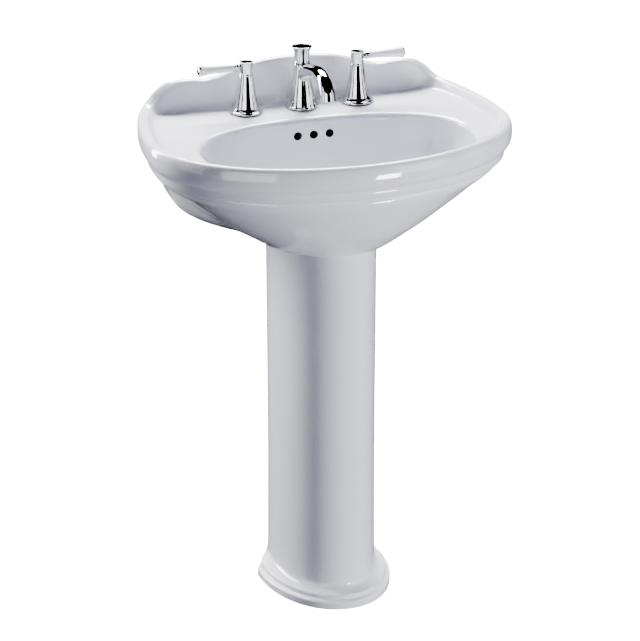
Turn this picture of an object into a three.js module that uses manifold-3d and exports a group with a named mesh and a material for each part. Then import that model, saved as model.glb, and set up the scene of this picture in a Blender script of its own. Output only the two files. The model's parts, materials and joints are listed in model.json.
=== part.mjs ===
// Pedestal washbasin with a widespread two-handle faucet and a lift-rod pop-up waste.
// Millimetres, +Z up, the user stands at -Y, the wall is at +Y.
// Origin: on the floor, at the centre of the overall width and depth.
import * as THREE from 'three';
import { mergeVertices } from 'three/addons/utils/BufferGeometryUtils.js';
import Module from 'manifold-3d';

const wasm = await Module();
wasm.setup();

// ---------------------------------------------------------------- driving dimensions
// Basin
const BASIN_WIDTH = 644;
const BASIN_DEPTH = 444;          // wall face to the front of the rim
const RIM_HEIGHT = 862;           // top of the raised lip above the floor
const DECK_DROP = 14;              // deck surface below the lip
const BACKSPLASH_RISE = 66;       // centre of the backsplash above the lip
const CHINA = 13;                 // wall thickness of the china
const RIM_BACK_RUN = 222;         // widest line of the rim to the wall
const RIM_BACK_CURVE = 435;       // half length of the ellipse that the rear sides follow
const APRON_HEIGHT = 66;          // the two moulded bands under the lip
const BAND_STEP = 44;             // lip to the step between the two bands
const SEAT_DEPTH = 201;           // lip to the front of the seat on the pedestal
const SEAT_DIP = 27;              // how far the seat dips behind its front
const SKIRT_DEPTH = 208;          // lip to the lowest edge of the rear skirt
const SKIRT_FOOT_HALF = 119;      // half width of the skirt at that edge
const SKIRT_KNEE = 67;            // height over which the skirt's side turns up
const SKIRT_KNEE_HALF = 252;      // half width of the skirt above that turn
const BACK_RAIL = 94;             // height of the closed rail against the wall
// Bowl
const BOWL_SIDE_MARGIN = 84;      // rim side to the bowl's edge
const BOWL_FRONT_MARGIN = 34;     // rim front to the bowl's edge
const BOWL_TO_FAUCET = 66;        // bowl's rear edge to the faucet line
const BOWL_DEPTH = 146;
const DRAIN_FORWARD = 62;         // column axis to the drain, towards the user
const DRAIN_SEAT_R = 38;
const DRAIN_HOLE_R = 22;
const OVERFLOW_R = 7;
const OVERFLOW_PITCH = 29;
const OVERFLOW_DROP = 30;         // deck to the overflow holes
// Pedestal
const COLUMN_SETBACK = 165;       // column axis to the wall
const COLUMN_HALF = 90;
const COLUMN_FRONT = 146;         // column's widest line to its nose
const COLUMN_ROUND = 137;         // half length of the ellipse that its back half follows
const COLUMN_BACK = 70;           // column's widest line to its open back
const COLUMN_WALL = 13;
const FOOT_HALF = 118;
const FOOT_FRONT = 177;
const FOOT_ROUND = 52;            // foot's widest line to where its back closes on the column
const FOOT_HEIGHT = 34;
const FOOT_FLANGE = 14;           // thickness of the inner flange that is screwed down
// Faucet
const FAUCET_SETBACK = 62;        // faucet line to the wall
const HANDLE_SPACING = 203.2;     // handle to handle
const DECK_HOLE_R = 16;
const HANDLE_HEIGHT = 93;
const HUB_HEIGHT = 25;
const HUB_R = 12;
const LEVER_REACH = 88;
const SPOUT_REACH = 145;
const SPOUT_BODY_HEIGHT = 80;
const KNOB_HEIGHT = 30;
const KNOB_R = 18;
const SHANK_R = 10;
const LIFT_ROD_R = 2.5;
const TUBE_R = 4.8;
// Waste
const DRAIN_R = 16;
const PIVOT_DROP = 62;            // bowl floor to the pivot rod's ball
const PIVOT_ARM = 20;             // drain axis to the ball
const PIVOT_TILT = 0.12;          // slope of the pivot rod with the drain open, radians
const TAILPIECE_LENGTH = 150;
// Fits
const OUTLET_TILT = -0.22;        // the spout's outlet leans towards the user
const GAP = 0.3;                  // between pieces that touch
const RUN = 0.6;                  // around pieces that turn or slide
const GASKET = 1.5;
const WALL_BOLT_X = 140;
const WALL_BOLT_DROP = 66;        // lip to the wall bolts
const WALL_BOLT_R = 4;

// ---------------------------------------------------------------- derived places
const WALL_Y = BASIN_DEPTH / 2;
const DECK_Z = RIM_HEIGHT - DECK_DROP;
const SEAT_Z = RIM_HEIGHT - SEAT_DEPTH;
const APRON_Z = RIM_HEIGHT - APRON_HEIGHT;
const UNDER_DECK_Z = DECK_Z - CHINA - 3;
const RIM_Y = WALL_Y - RIM_BACK_RUN;
const COLUMN_Y = WALL_Y - COLUMN_SETBACK;
const SKIRT_Y = COLUMN_Y + 44;
const RAIL_Z = RIM_HEIGHT - BACK_RAIL;
const FAUCET_Y = WALL_Y - FAUCET_SETBACK;
const BOWL_BACK_Y = FAUCET_Y - BOWL_TO_FAUCET;
const BOWL_FRONT_Y = -WALL_Y + BOWL_FRONT_MARGIN;
const BOWL_Y = (BOWL_BACK_Y + BOWL_FRONT_Y) / 2;
const BOWL_HALF_Y = (BOWL_BACK_Y - BOWL_FRONT_Y) / 2;
const BOWL_HALF_X = BASIN_WIDTH / 2 - BOWL_SIDE_MARGIN;
const BOWL_FLOOR_Z = DECK_Z - BOWL_DEPTH;
const DRAIN_Y = COLUMN_Y - DRAIN_FORWARD;
const PIVOT_Z = BOWL_FLOOR_Z - PIVOT_DROP;
const HANDLE_X = HANDLE_SPACING / 2;
const FLOOR_SCREW_X = COLUMN_HALF - COLUMN_WALL - 12;
const FLOOR_SCREW_Y = COLUMN_Y + 10;

// ---------------------------------------------------------------- materials
const CHINA_LOOK = new THREE.MeshStandardMaterial({ color: 0xe9eaf1, roughness: 0.08, metalness: 0 });
const CHROME_LOOK = new THREE.MeshStandardMaterial({ color: 0xd4d6da, roughness: 0.06, metalness: 1 });
const BRASS_LOOK = new THREE.MeshStandardMaterial({ color: 0xb8954a, roughness: 0.35, metalness: 1 });
const COPPER_LOOK = new THREE.MeshStandardMaterial({ color: 0xb36b45, roughness: 0.3, metalness: 1 });
const STEEL_LOOK = new THREE.MeshStandardMaterial({ color: 0x9a9da1, roughness: 0.4, metalness: 1 });
const RUBBER_LOOK = new THREE.MeshStandardMaterial({ color: 0x1d1d1f, roughness: 0.8, metalness: 0 });
const NYLON_LOOK = new THREE.MeshStandardMaterial({ color: 0xd9d9d4, roughness: 0.5, metalness: 0 });

// ---------------------------------------------------------------- mesh helpers
function sixVolumes(position, index) {
  const [a, b, c] = [new THREE.Vector3(), new THREE.Vector3(), new THREE.Vector3()];
  let total = 0;
  for (let i = 0; i < index.length; i += 3) {
    a.fromBufferAttribute(position, index[i]);
    b.fromBufferAttribute(position, index[i + 1]);
    c.fromBufferAttribute(position, index[i + 2]);
    total += a.dot(b.cross(c));
  }
  return total;
}

// Shared vertices, no slivers of zero area, and faces that point out.
function welded(source) {
  const bare = source.clone();
  bare.deleteAttribute('normal');
  bare.deleteAttribute('uv');
  const merged = mergeVertices(bare, 1e-4);
  const all = Array.from(merged.index.array);
  let kept = [];
  for (let i = 0; i < all.length; i += 3) {
    const [a, b, c] = all.slice(i, i + 3);
    if (a !== b && b !== c && c !== a) kept.push(a, b, c);
  }
  if (sixVolumes(merged.attributes.position, kept) < 0) kept = kept.reverse();
  merged.setIndex(kept);
  return merged;
}

function toSolid(geometry) {
  const mesh = welded(geometry);
  const vertProperties = new Float32Array(mesh.attributes.position.array);
  const triVerts = new Uint32Array(mesh.index.array);
  return new wasm.Manifold(new wasm.Mesh({ numProp: 3, vertProperties, triVerts }));
}

function toGeometry(solid) {
  const mesh = solid.getMesh();
  const geometry = new THREE.BufferGeometry();
  geometry.setAttribute('position', new THREE.BufferAttribute(new Float32Array(mesh.vertProperties), 3));
  geometry.setIndex(Array.from(mesh.triVerts));
  return geometry;
}

function joined(first, ...rest) {
  return toGeometry(rest.reduce((sum, piece) => sum.add(toSolid(piece)), toSolid(first)));
}

function cut(body, ...tools) {
  return toGeometry(tools.reduce((left, tool) => left.subtract(toSolid(tool)), toSolid(body)));
}

// A skin over rings of equal count, closed by a fan at each end, or end to end when looped.
function loft(rings, looped = false) {
  const count = rings[0].length;
  const points = rings.flat();
  const index = [];
  const spans = looped ? rings.length : rings.length - 1;
  for (let k = 0; k < spans; k += 1) {
    const low = k * count;
    const high = ((k + 1) % rings.length) * count;
    for (let i = 0; i < count; i += 1) {
      const j = (i + 1) % count;
      index.push(low + i, low + j, high + j, low + i, high + j, high + i);
    }
  }
  if (!looped) {
    for (const [ring, start] of [[rings[0], 0], [rings.at(-1), (rings.length - 1) * count]]) {
      const middle = ring.reduce((sum, p) => sum.add(p), new THREE.Vector3()).divideScalar(count);
      points.push(middle);
      for (let i = 0; i < count; i += 1) {
        const j = (i + 1) % count;
        const fan = [points.length - 1, start + i, start + j];
        index.push(...(start === 0 ? fan.reverse() : fan));
      }
    }
  }
  const geometry = new THREE.BufferGeometry().setFromPoints(points);
  geometry.setIndex(index);
  return geometry;
}

// A turned piece: [radius, height] pairs about +Z.
function turned(profile, sides = 18) {
  const points = profile.map(([r, h]) => new THREE.Vector2(r, h));
  return welded(new THREE.LatheGeometry(points, sides).rotateX(Math.PI / 2));
}

// A round tube or washer from z0 to z1.
function sleeve(outer, inner, z0, z1, sides = 16) {
  return turned([[inner, z0], [outer, z0], [outer, z1], [inner, z1], [inner, z0]], sides);
}

function rod(radius, z0, z1, sides = 16) {
  return turned([[0, z0], [radius, z0], [radius, z1], [0, z1]], sides);
}

function hexNut(acrossFlats, bore, z0, z1) {
  const blank = new THREE.CylinderGeometry(acrossFlats / Math.sqrt(3), acrossFlats / Math.sqrt(3), z1 - z0, 6);
  blank.rotateX(Math.PI / 2).translate(0, 0, (z0 + z1) / 2);
  return cut(blank, rod(bore, z0 - 1, z1 + 1, 16));
}

// Turns a piece made about +Z to lie along an axis: 'x', '-x', 'y' or '-y'.
function laid(geometry, along) {
  const turns = {
    x: (g) => g.rotateY(Math.PI / 2),
    '-x': (g) => g.rotateY(-Math.PI / 2),
    y: (g) => g.rotateX(-Math.PI / 2),
    '-y': (g) => g.rotateX(Math.PI / 2),
  };
  return turns[along](geometry);
}

function block(x0, x1, y0, y1, z0, z1) {
  const box = new THREE.BoxGeometry(x1 - x0, y1 - y0, z1 - z0);
  return box.translate((x0 + x1) / 2, (y0 + y1) / 2, (z0 + z1) / 2);
}

function piece(name, geometry, look, x = 0, y = 0, z = 0) {
  const mesh = new THREE.Mesh(geometry, look);
  mesh.name = name;
  mesh.position.set(x, y, z);
  return mesh;
}

// ---------------------------------------------------------------- plan curves
// Distance from the centre to a closed curve whose front and back halves differ.
function superRadius(theta, half, front, back, frontPower, backPower) {
  const ahead = Math.sin(theta) < 0;
  const power = ahead ? frontPower : backPower;
  const reach = ahead ? front : back;
  const c = Math.abs(Math.cos(theta)) / half;
  const s = Math.abs(Math.sin(theta)) / reach;
  return (c ** power + s ** power) ** (-1 / power);
}

function blendedMin(a, b, sharpness) {
  return (a ** -sharpness + b ** -sharpness) ** (-1 / sharpness);
}

function smoothTable(x, knots) {
  if (x <= knots[0][0]) return knots[0][1];
  for (let i = 1; i < knots.length; i += 1) {
    const [x0, y0] = knots[i - 1];
    const [x1, y1] = knots[i];
    if (x > x1) continue;
    const slopeAt = (k) => {
      if (k === 0 || k === knots.length - 1) return 0;
      return (knots[k + 1][1] - knots[k - 1][1]) / (knots[k + 1][0] - knots[k - 1][0]);
    };
    const t = (x - x0) / (x1 - x0);
    const h = x1 - x0;
    return (2 * t ** 3 - 3 * t ** 2 + 1) * y0 + (t ** 3 - 2 * t ** 2 + t) * h * slopeAt(i - 1)
      + (3 * t ** 2 - 2 * t ** 3) * y1 + (t ** 3 - t ** 2) * h * slopeAt(i);
  }
  return knots.at(-1)[1];
}

// Equal steps, with the two rear corners of the basin sampled more closely.
const CORNER = Math.atan2(RIM_BACK_RUN, BASIN_WIDTH * 0.43);
const CORNER_STEP = 0.06;
const ANGLES = (() => {
  const even = Array.from({ length: 32 }, (_, i) => (i * Math.PI) / 16);
  const close = [-1, 0, 1].flatMap((k) => [CORNER + k * CORNER_STEP, Math.PI - CORNER - k * CORNER_STEP]);
  const apart = even.filter((a) => close.every((b) => Math.abs(a - b) > CORNER_STEP / 2));
  return [...apart, ...close].sort((a, b) => a - b);
})();

function ringAt(centreY, radiusAt, heightAt) {
  return ANGLES.map((theta) => {
    const r = radiusAt(theta);
    return new THREE.Vector3(r * Math.cos(theta), centreY + r * Math.sin(theta), heightAt(theta));
  });
}

// ---------------------------------------------------------------- basin
function rimRadius(theta, inset, wallInset) {
  const free = superRadius(theta, BASIN_WIDTH / 2 - inset, BASIN_DEPTH - RIM_BACK_RUN - inset,
    RIM_BACK_CURVE - inset, 2.03, 2);
  if (Math.sin(theta) <= 0) return free;
  return blendedMin(free, (RIM_BACK_RUN - wallInset) / Math.sin(theta), 30);
}

// Height of the backsplash above the lip, from its centre (0) to the rear corner (1) and round it.
const CREST = [[0, 1], [0.18, 0.968], [0.345, 0.85], [0.49, 0.65], [0.61, 0.56], [0.74, 0.6],
  [0.83, 0.565], [0.88, 0.47], [0.93, 0.32], [0.98, 0.16], [1.06, 0.04], [1.3, 0]];

function crestAt(theta) {
  if (Math.sin(theta) <= 0.01) return 0;
  const across = Math.abs(Math.cos(theta) / Math.sin(theta)) * Math.tan(CORNER);
  return BACKSPLASH_RISE * smoothTable(across, CREST);
}

function rimRing(inset, z, wallInset = 0) {
  return ringAt(RIM_Y, (theta) => rimRadius(theta, inset, wallInset), () => z);
}

function lipRing(inset, drop, wallInset) {
  return ringAt(RIM_Y, (theta) => rimRadius(theta, inset, wallInset),
    (theta) => RIM_HEIGHT + crestAt(theta) - drop);
}

function bowlRing(grow, share, z) {
  const centreY = DRAIN_Y + (BOWL_Y - DRAIN_Y) * share;
  const edge = (theta) => superRadius(theta, BOWL_HALF_X, BOWL_HALF_Y, BOWL_HALF_Y, 2.4, 2.4);
  return ringAt(centreY, (theta) => DRAIN_SEAT_R + (edge(theta) - DRAIN_SEAT_R) * share + grow, () => z);
}

// The bowl from its edge to its floor: share of the depth, share of the width.
const BOWL_CURVE = [[0.05, 1], [0.13, 0.985], [0.32, 0.945], [0.56, 0.86], [0.75, 0.73], [0.88, 0.55],
  [0.96, 0.33], [0.993, 0.13], [1, 0]];

function bowlRings(grow, topZ) {
  return BOWL_CURVE.map(([fall, share]) => bowlRing(grow, share, topZ - fall * BOWL_DEPTH));
}

// Rings between the lip's inner edge and the bowl: the face and cove of the backsplash, then the deck.
function deckRings(lipInner, bowlEdge) {
  const stations = [[4, 0.88, 0.2], [9, 0.5, 0.4], [14, 0.14, 0.6], [19, 0, 0.8]];
  return stations.map(([run, lift, cap]) => lipInner.map((from, i) => {
    const to = bowlEdge[i];
    const share = Math.min(run / from.distanceTo(to), cap);
    const p = from.clone().lerp(to, share);
    p.z = DECK_Z + (from.z - DECK_Z) * lift;
    return p;
  }));
}

// Half widths, centre and reach of the belly at a height. Its centre moves back as it narrows.
function bellySize(z, inset) {
  const fall = (foot) => THREE.MathUtils.clamp((APRON_Z - z) / (APRON_Z - foot), 0, 1);
  const side = (1 - fall(SEAT_Z - SEAT_DIP + 5) ** 1.05) ** (1 / 1.05);
  const nose = (1 - fall(SEAT_Z - 10) ** 1.41) ** (1 / 1.41);
  const seatHalf = COLUMN_HALF + 2;
  const seatFront = COLUMN_FRONT - 13;
  return {
    y: COLUMN_Y + (RIM_Y - COLUMN_Y) * side,
    half: seatHalf + (BASIN_WIDTH / 2 - 23 - seatHalf) * side - inset,
    front: seatFront + (BASIN_DEPTH - RIM_BACK_RUN - 17 - seatFront) * nose - inset,
    back: 183 - inset,
  };
}

function skirtSize(z, inset) {
  const foot = RIM_HEIGHT - SKIRT_DEPTH;
  const knee = foot + SKIRT_KNEE;
  const fall = THREE.MathUtils.clamp((knee - z) / SKIRT_KNEE, 0, 1);
  const below = SKIRT_FOOT_HALF + (SKIRT_KNEE_HALF - SKIRT_FOOT_HALF) * (1 - fall ** 1.5) ** (1 / 1.5);
  const above = SKIRT_KNEE_HALF + 24 * Math.max(0, (z - knee) / (APRON_Z - knee));
  return {
    y: SKIRT_Y,
    half: z < foot ? 1 : (z < knee ? below : above) - inset,
    front: THREE.MathUtils.clamp(85 + 2.7 * (z - foot), 1 + inset, 220) - inset,
    back: 400,
  };
}

function sectionNorm(x, y, size, power) {
  const reach = y < size.y ? size.front : size.back;
  return ((Math.abs(x) / size.half) ** power + (Math.abs(y - size.y) / reach) ** power) ** (1 / power);
}

// Outer edge of the belly and skirt together, with a soft valley where they meet.
function bodyRadius(theta, z, inset, backY) {
  const [dx, dy] = [Math.cos(theta), Math.sin(theta)];
  const outside = (r) => {
    const [x, y] = [r * dx, RIM_Y + r * dy];
    const belly = sectionNorm(x, y, bellySize(z, inset), 2.05);
    const skirt = sectionNorm(x, y, skirtSize(z, inset), y < SKIRT_Y ? 1.4 : 2.2);
    return blendedMin(belly, skirt, 14) > 1;
  };
  let far = BASIN_WIDTH;
  while (outside(far)) far -= 4;
  let [low, high] = [far, far + 4];
  for (let i = 0; i < 20; i += 1) {
    const mid = (low + high) / 2;
    if (outside(mid)) high = mid;
    else low = mid;
  }
  const toWall = dy > 0 ? (backY - RIM_Y) / dy : Infinity;
  return Math.min(low, toWall);
}

// The body runs on past the wall and is cut flat there, unless a back is given.
function bodyRing(z, { inset = 0, backY = Infinity, share = 1, height = z } = {}) {
  return ringAt(RIM_Y, (theta) => {
    const body = bodyRadius(theta, z, inset, backY);
    return body * share + rimRadius(theta, 23 + inset, 0) * (1 - share);
  }, () => height);
}

// Height of the seat between basin and pedestal, from the front of the column to the back.
function seatAt(y) {
  const back = THREE.MathUtils.clamp((y - COLUMN_Y + COLUMN_FRONT) / (COLUMN_FRONT + 15), 0, 1);
  return SEAT_Z - SEAT_DIP * back ** 2.2;
}

// Everything between the seat, shifted by an offset, and a far height above or below it.
function pastSeat(offset, farZ) {
  const seat = Array.from({ length: 9 }, (_, i) => COLUMN_Y - COLUMN_FRONT + (i * (COLUMN_FRONT + 15)) / 8);
  const curve = [-BASIN_DEPTH, ...seat, BASIN_DEPTH].map((y) => new THREE.Vector2(y, seatAt(y) + offset));
  const ends = [BASIN_DEPTH, -BASIN_DEPTH].map((y) => new THREE.Vector2(y, farZ));
  const section = new THREE.Shape([...curve, ...ends]);
  const solid = new THREE.ExtrudeGeometry(section, { depth: 2 * BASIN_WIDTH, bevelEnabled: false });
  const upright = new THREE.Matrix4().makeBasis(
    new THREE.Vector3(0, 1, 0), new THREE.Vector3(0, 0, 1), new THREE.Vector3(1, 0, 0));
  return solid.applyMatrix4(upright).translate(-BASIN_WIDTH, 0, 0);
}

function basinBlank() {
  const body = [-32, -21, -11, -5, 2, 12, 26, 46, 68, 90, 106].map((rise) => bodyRing(SEAT_Z + rise));
  body.push(bodyRing(APRON_Z - 18, { share: 0.85 }), bodyRing(APRON_Z - 8, { share: 0.5 }));
  const bandZ = RIM_HEIGHT - BAND_STEP;
  const apron = [[23, APRON_Z], [15, APRON_Z + 3], [12, bandZ - 3], [8, bandZ + 1], [4, bandZ + 5],
    [1, bandZ + 12], [0, bandZ + 22], [3, RIM_HEIGHT - 8]].map(([inset, z]) => rimRing(inset, z));
  const lip = [[5.5, 4, 0], [8, 1, 4], [11, 0, 9], [16, 1.2, 14]]
    .map(([inset, drop, wallInset]) => lipRing(inset, drop, wallInset));
  const bowlEdge = bowlRing(9, 1, DECK_Z);
  const deck = deckRings(lip.at(-1), bowlEdge);
  const bowlWall = [bowlRing(3, 1, DECK_Z - 2.5), ...bowlRings(0, DECK_Z)];
  return loft([...body, ...apron, ...lip, ...deck, bowlEdge, ...bowlWall]);
}

// What the bowl's underside keeps out of the hollow below the deck.
function bowlShell() {
  return loft([bowlRing(CHINA, 1, DECK_Z + 20), ...bowlRings(CHINA, DECK_Z - CHINA)].reverse());
}

// The hollow below the deck: open to the wall under the rail, closed behind above it.
function underside() {
  const floor = SEAT_Z + CHINA - 3;
  const lower = loft([floor, floor + 6, floor + 18, floor + 40, floor + 70, RAIL_Z].map((z) => (
    bodyRing(z - CHINA, { inset: CHINA, height: z }))));
  const upper = loft([RAIL_Z - 1, APRON_Z - 8, UNDER_DECK_Z].map((z) => (
    bodyRing(Math.min(z, APRON_Z) - CHINA, { inset: CHINA, backY: WALL_Y - CHINA, height: z }))));
  return toGeometry(toSolid(joined(lower, upper)).subtract(toSolid(bowlShell())));
}

function columnRing(z, half, front, back) {
  return ringAt(COLUMN_Y, (theta) => superRadius(theta, half, front, back, 2.08, 2), () => z);
}

function columnPrism(grow, z0, z1) {
  return loft([z0, z1].map((z) => columnRing(z, COLUMN_HALF + grow, COLUMN_FRONT + grow, COLUMN_ROUND + grow)));
}

function basinHoles() {
  const floorHole = rod(DRAIN_HOLE_R, BOWL_FLOOR_Z - 2 * CHINA, BOWL_FLOOR_Z + 5).translate(0, DRAIN_Y, 0);
  const faucetHoles = [-HANDLE_X, 0, HANDLE_X].map((x) => (
    rod(DECK_HOLE_R, UNDER_DECK_Z - 5, DECK_Z + 5).translate(x, FAUCET_Y, 0)));
  const overflow = [-1, 0, 1].map((k) => laid(rod(OVERFLOW_R, -25, 40, 16), 'y')
    .translate(k * OVERFLOW_PITCH, BOWL_BACK_Y - 5, DECK_Z - OVERFLOW_DROP));
  const bolts = [-WALL_BOLT_X, WALL_BOLT_X].map((x) => laid(rod(WALL_BOLT_R + 2, -CHINA - 10, 5, 16), 'y')
    .translate(x, WALL_Y, RIM_HEIGHT - WALL_BOLT_DROP));
  return [floorHole, ...faucetHoles, ...overflow, ...bolts];
}

function basin() {
  const belowBelly = SEAT_Z - SEAT_DIP - 20;
  const throat = columnPrism(-COLUMN_WALL, belowBelly, SEAT_Z + CHINA + 5);
  const rearHalf = COLUMN_HALF - COLUMN_WALL;
  const rear = block(-rearHalf, rearHalf, COLUMN_Y, WALL_Y + 20, belowBelly, SEAT_Z + CHINA + 5);
  const wall = block(-BASIN_WIDTH, BASIN_WIDTH, WALL_Y, WALL_Y + 3 * BASIN_DEPTH, 0, 2 * RIM_HEIGHT);
  const shell = toSolid(bowlShell());
  const belowBowl = [throat, rear].map((tool) => toGeometry(toSolid(tool).subtract(shell)));
  return cut(basinBlank(), wall, pastSeat(0, 0), underside(), ...belowBowl, ...basinHoles());
}

// ---------------------------------------------------------------- pedestal
// A ring between the column (0) and the full width of the foot (1), never inside the column.
function footRing(z, share) {
  const between = (column, foot) => column + (foot - column) * share;
  return ringAt(COLUMN_Y, (theta) => Math.max(
    superRadius(theta, COLUMN_HALF, COLUMN_FRONT, COLUMN_ROUND, 2.08, 2),
    superRadius(theta, between(COLUMN_HALF, FOOT_HALF), between(COLUMN_FRONT, FOOT_FRONT),
      between(COLUMN_ROUND, FOOT_ROUND), 2.08, 2)), () => z);
}

function pedestal() {
  const moulding = [[0, 0.97], [2, 1], [12, 1], [15, 0.93], [16, 0.72], [23, 0.68], [25, 0.45], [28, 0.2],
    [FOOT_HEIGHT, 0.04]].map(([z, share]) => footRing(z, share));
  const shaft = [[SEAT_Z * 0.4, -1], [SEAT_Z - 40, 0.5], [SEAT_Z + 5, 1]]
    .map(([z, swell]) => columnRing(z, COLUMN_HALF + swell, COLUMN_FRONT + swell, COLUMN_ROUND + swell));
  const hollow = columnPrism(-COLUMN_WALL, FOOT_FLANGE, SEAT_Z + 10);
  const floorOpening = columnPrism(-COLUMN_WALL - 24, -5, FOOT_FLANGE + 5);
  const back = block(-FOOT_HALF - 5, FOOT_HALF + 5, COLUMN_Y + COLUMN_BACK, WALL_Y + 50, -5, SEAT_Z + 15);
  const screws = [-1, 1].map((side) => rod(5, -5, FOOT_FLANGE + 5, 16)
    .translate(side * FLOOR_SCREW_X, FLOOR_SCREW_Y, 0));
  const blank = loft([...moulding, ...shaft]);
  return cut(blank, pastSeat(-GAP, 2 * RIM_HEIGHT), hollow, floorOpening, back, ...screws);
}

// ---------------------------------------------------------------- faucet
function handleBody() {
  const top = HANDLE_HEIGHT - HUB_HEIGHT - GASKET;
  const wall = 2.6;
  const curve = [[22.5, 9], [20, 17], [17.2, 29], [14.8, 44], [13, 58], [HUB_R, top]];
  const inside = curve.map(([r, z]) => [r - wall, z]).reverse();
  return turned([[24, 0], [29, 0], [29.3, 2], [28, 4], [26.5, 4.6], [26.5, 6], ...curve, ...inside, [24, 0]]);
}

function handleHub() {
  const top = HUB_HEIGHT - GAP;
  const blank = turned([[0, 0], [HUB_R, 0], [HUB_R + 0.3, 1.5], [HUB_R - 0.3, 4], [HUB_R - 0.4, top - 3],
    [HUB_R, top - 1], [HUB_R - 0.6, top], [0, top]]);
  const stemSocket = rod(4 + GAP, -1, 12, 16);
  const leverSocket = laid(rod(3 + GAP, 5, HUB_R + 5, 16), 'x').translate(0, 0, HUB_HEIGHT - 10);
  return cut(blank, stemSocket, leverSocket);
}

function leverCollar() {
  const peg = [[0, 5.5], [3, 5.5], [3, HUB_R + GAP]];
  const ring = [[5.4, HUB_R + GAP], [5.4, 14.5], [7.1, 15], [7.4, 17], [7.1, 19], [6.4, 19.5], [6.4, 22], [0, 22]];
  return laid(turned([...peg, ...ring], 20), 'x');
}

function leverSleeve() {
  const end = LEVER_REACH - 5;
  return laid(turned([[0, 22 + GAP], [6.2, 22 + GAP], [6.6, 40], [7.4, 58], [9, end - 6], [10, end - 1],
    [9.8, end], [0, end]], 20), 'x');
}

function leverCap() {
  return laid(turned([[0, LEVER_REACH - 5 + GAP], [9.9, LEVER_REACH - 5 + GAP], [10.1, LEVER_REACH - 3],
    [8.8, LEVER_REACH - 0.6], [5, LEVER_REACH], [0, LEVER_REACH]], 20), 'x');
}

const VALVE_DROP = 74;            // deck to the foot of the valve
const OUTLET_DROP = 54;           // deck to the valve's side outlet

function valveBody() {
  const shank = turned([[5, -VALVE_DROP], [SHANK_R, -VALVE_DROP], [SHANK_R, 6], [13, 6], [13, 28], [7, 28],
    [7, 32], [4 + RUN, 32], [4 + RUN, 8], [5, 8], [5, -VALVE_DROP]], 20);
  const side = laid(rod(7.5, 0, 24, 16), '-x').translate(0, 0, -OUTLET_DROP);
  const sideBore = laid(rod(TUBE_R + GAP, 12, 30, 16), '-x').translate(0, 0, -OUTLET_DROP);
  const blank = toSolid(shank).add(toSolid(side).subtract(toSolid(rod(7, -VALVE_DROP, 10, 16))));
  return toGeometry(blank.subtract(toSolid(sideBore)));
}

function underDeckNut(name, x) {
  const top = UNDER_DECK_Z - GAP;
  return [
    piece(`${name}_washer`, sleeve(22, SHANK_R + GAP, 0, 2, 20), STEEL_LOOK, x, FAUCET_Y, top - 2),
    piece(`${name}_locknut`, hexNut(32, SHANK_R + GAP, 0, 8), BRASS_LOOK, x, FAUCET_Y, top - 2 - GAP - 8),
  ];
}

function handleSet(name, side) {
  const group = new THREE.Group();
  group.position.set(side * HANDLE_X, FAUCET_Y, DECK_Z);
  const facing = new THREE.Group();
  facing.rotation.z = side > 0 ? 0 : Math.PI;
  const hubZ = HANDLE_HEIGHT - HUB_HEIGHT + GAP;
  facing.add(
    piece(`${name}_gasket`, sleeve(27, 20, GAP, GASKET - GAP), RUBBER_LOOK),
    piece(`${name}_escutcheon`, handleBody(), CHROME_LOOK, 0, 0, GASKET),
    piece(`${name}_valve`, valveBody(), BRASS_LOOK),
    piece(`${name}_stem`, rod(4, 9, hubZ + 11, 16), BRASS_LOOK),
    piece(`${name}_hub`, handleHub(), CHROME_LOOK, 0, 0, hubZ),
    piece(`${name}_lever_collar`, leverCollar(), CHROME_LOOK, 0, 0, hubZ + HUB_HEIGHT - 10),
    piece(`${name}_lever`, leverSleeve(), CHINA_LOOK, 0, 0, hubZ + HUB_HEIGHT - 10),
    piece(`${name}_lever_cap`, leverCap(), CHROME_LOOK, 0, 0, hubZ + HUB_HEIGHT - 10),
  );
  group.add(facing);
  return [group, ...underDeckNut(name, side * HANDLE_X)];
}

// The spout's waterway arch: forward run, height above the deck, radius.
const ARCH = [[6, 54, 9], [25, 70, 12], [57, 81, 11.5], [97, 88, 11.5], [127, 82, 12], [141, 68, 13],
  [SPOUT_REACH, 53, 14.8]];

function archRings(sides) {
  const path = new THREE.CatmullRomCurve3(ARCH.map(([run, z]) => new THREE.Vector3(0, -run, z)));
  const steps = 12;
  return Array.from({ length: steps + 1 }, (_, k) => {
    const t = k / steps;
    const centre = path.getPoint(t);
    const ahead = path.getTangent(t);
    const up = new THREE.Vector3(-1, 0, 0).cross(ahead).normalize();
    const radius = smoothTable(t * (ARCH.length - 1), ARCH.map(([, , r], i) => [i, r]));
    return Array.from({ length: sides }, (_ignored, i) => {
      const a = (i * 2 * Math.PI) / sides;
      const sideways = new THREE.Vector3(radius * Math.sin(a), 0, 0);
      return centre.clone().addScaledVector(up, radius * Math.cos(a)).add(sideways);
    });
  });
}

function spoutBody() {
  const top = SPOUT_BODY_HEIGHT;
  const trunk = turned([[0, 0], [28, 0], [28.4, 2], [27, 4], [25.5, 4.6], [25.5, 6], [24.2, 8], [22.6, 17],
    [19.8, 33], [17, 48], [14.6, 63], [13.7, top - 7], [15, top - 5], [15, top - 2], [14, top], [0, top]]);
  const arch = loft(archRings(14));
  const rodBore = rod(LIFT_ROD_R + RUN, -1, top + 1, 16);
  const shankSocket = rod(SHANK_R + GAP, -1, 14, 20);
  const last = ARCH.at(-1);
  const outlet = rod(11, -3, 10, 20).rotateX(OUTLET_TILT).translate(0, -last[0], last[1]);
  return cut(joined(trunk, arch), rodBore, shankSocket, outlet);
}

function aerator() {
  const last = ARCH.at(-1);
  return sleeve(11 - GAP, 7, 0, 9, 20).rotateX(OUTLET_TILT).translate(0, -last[0], last[1]);
}

const TEE_DROP = 62;              // deck to the tee's ports

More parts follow.
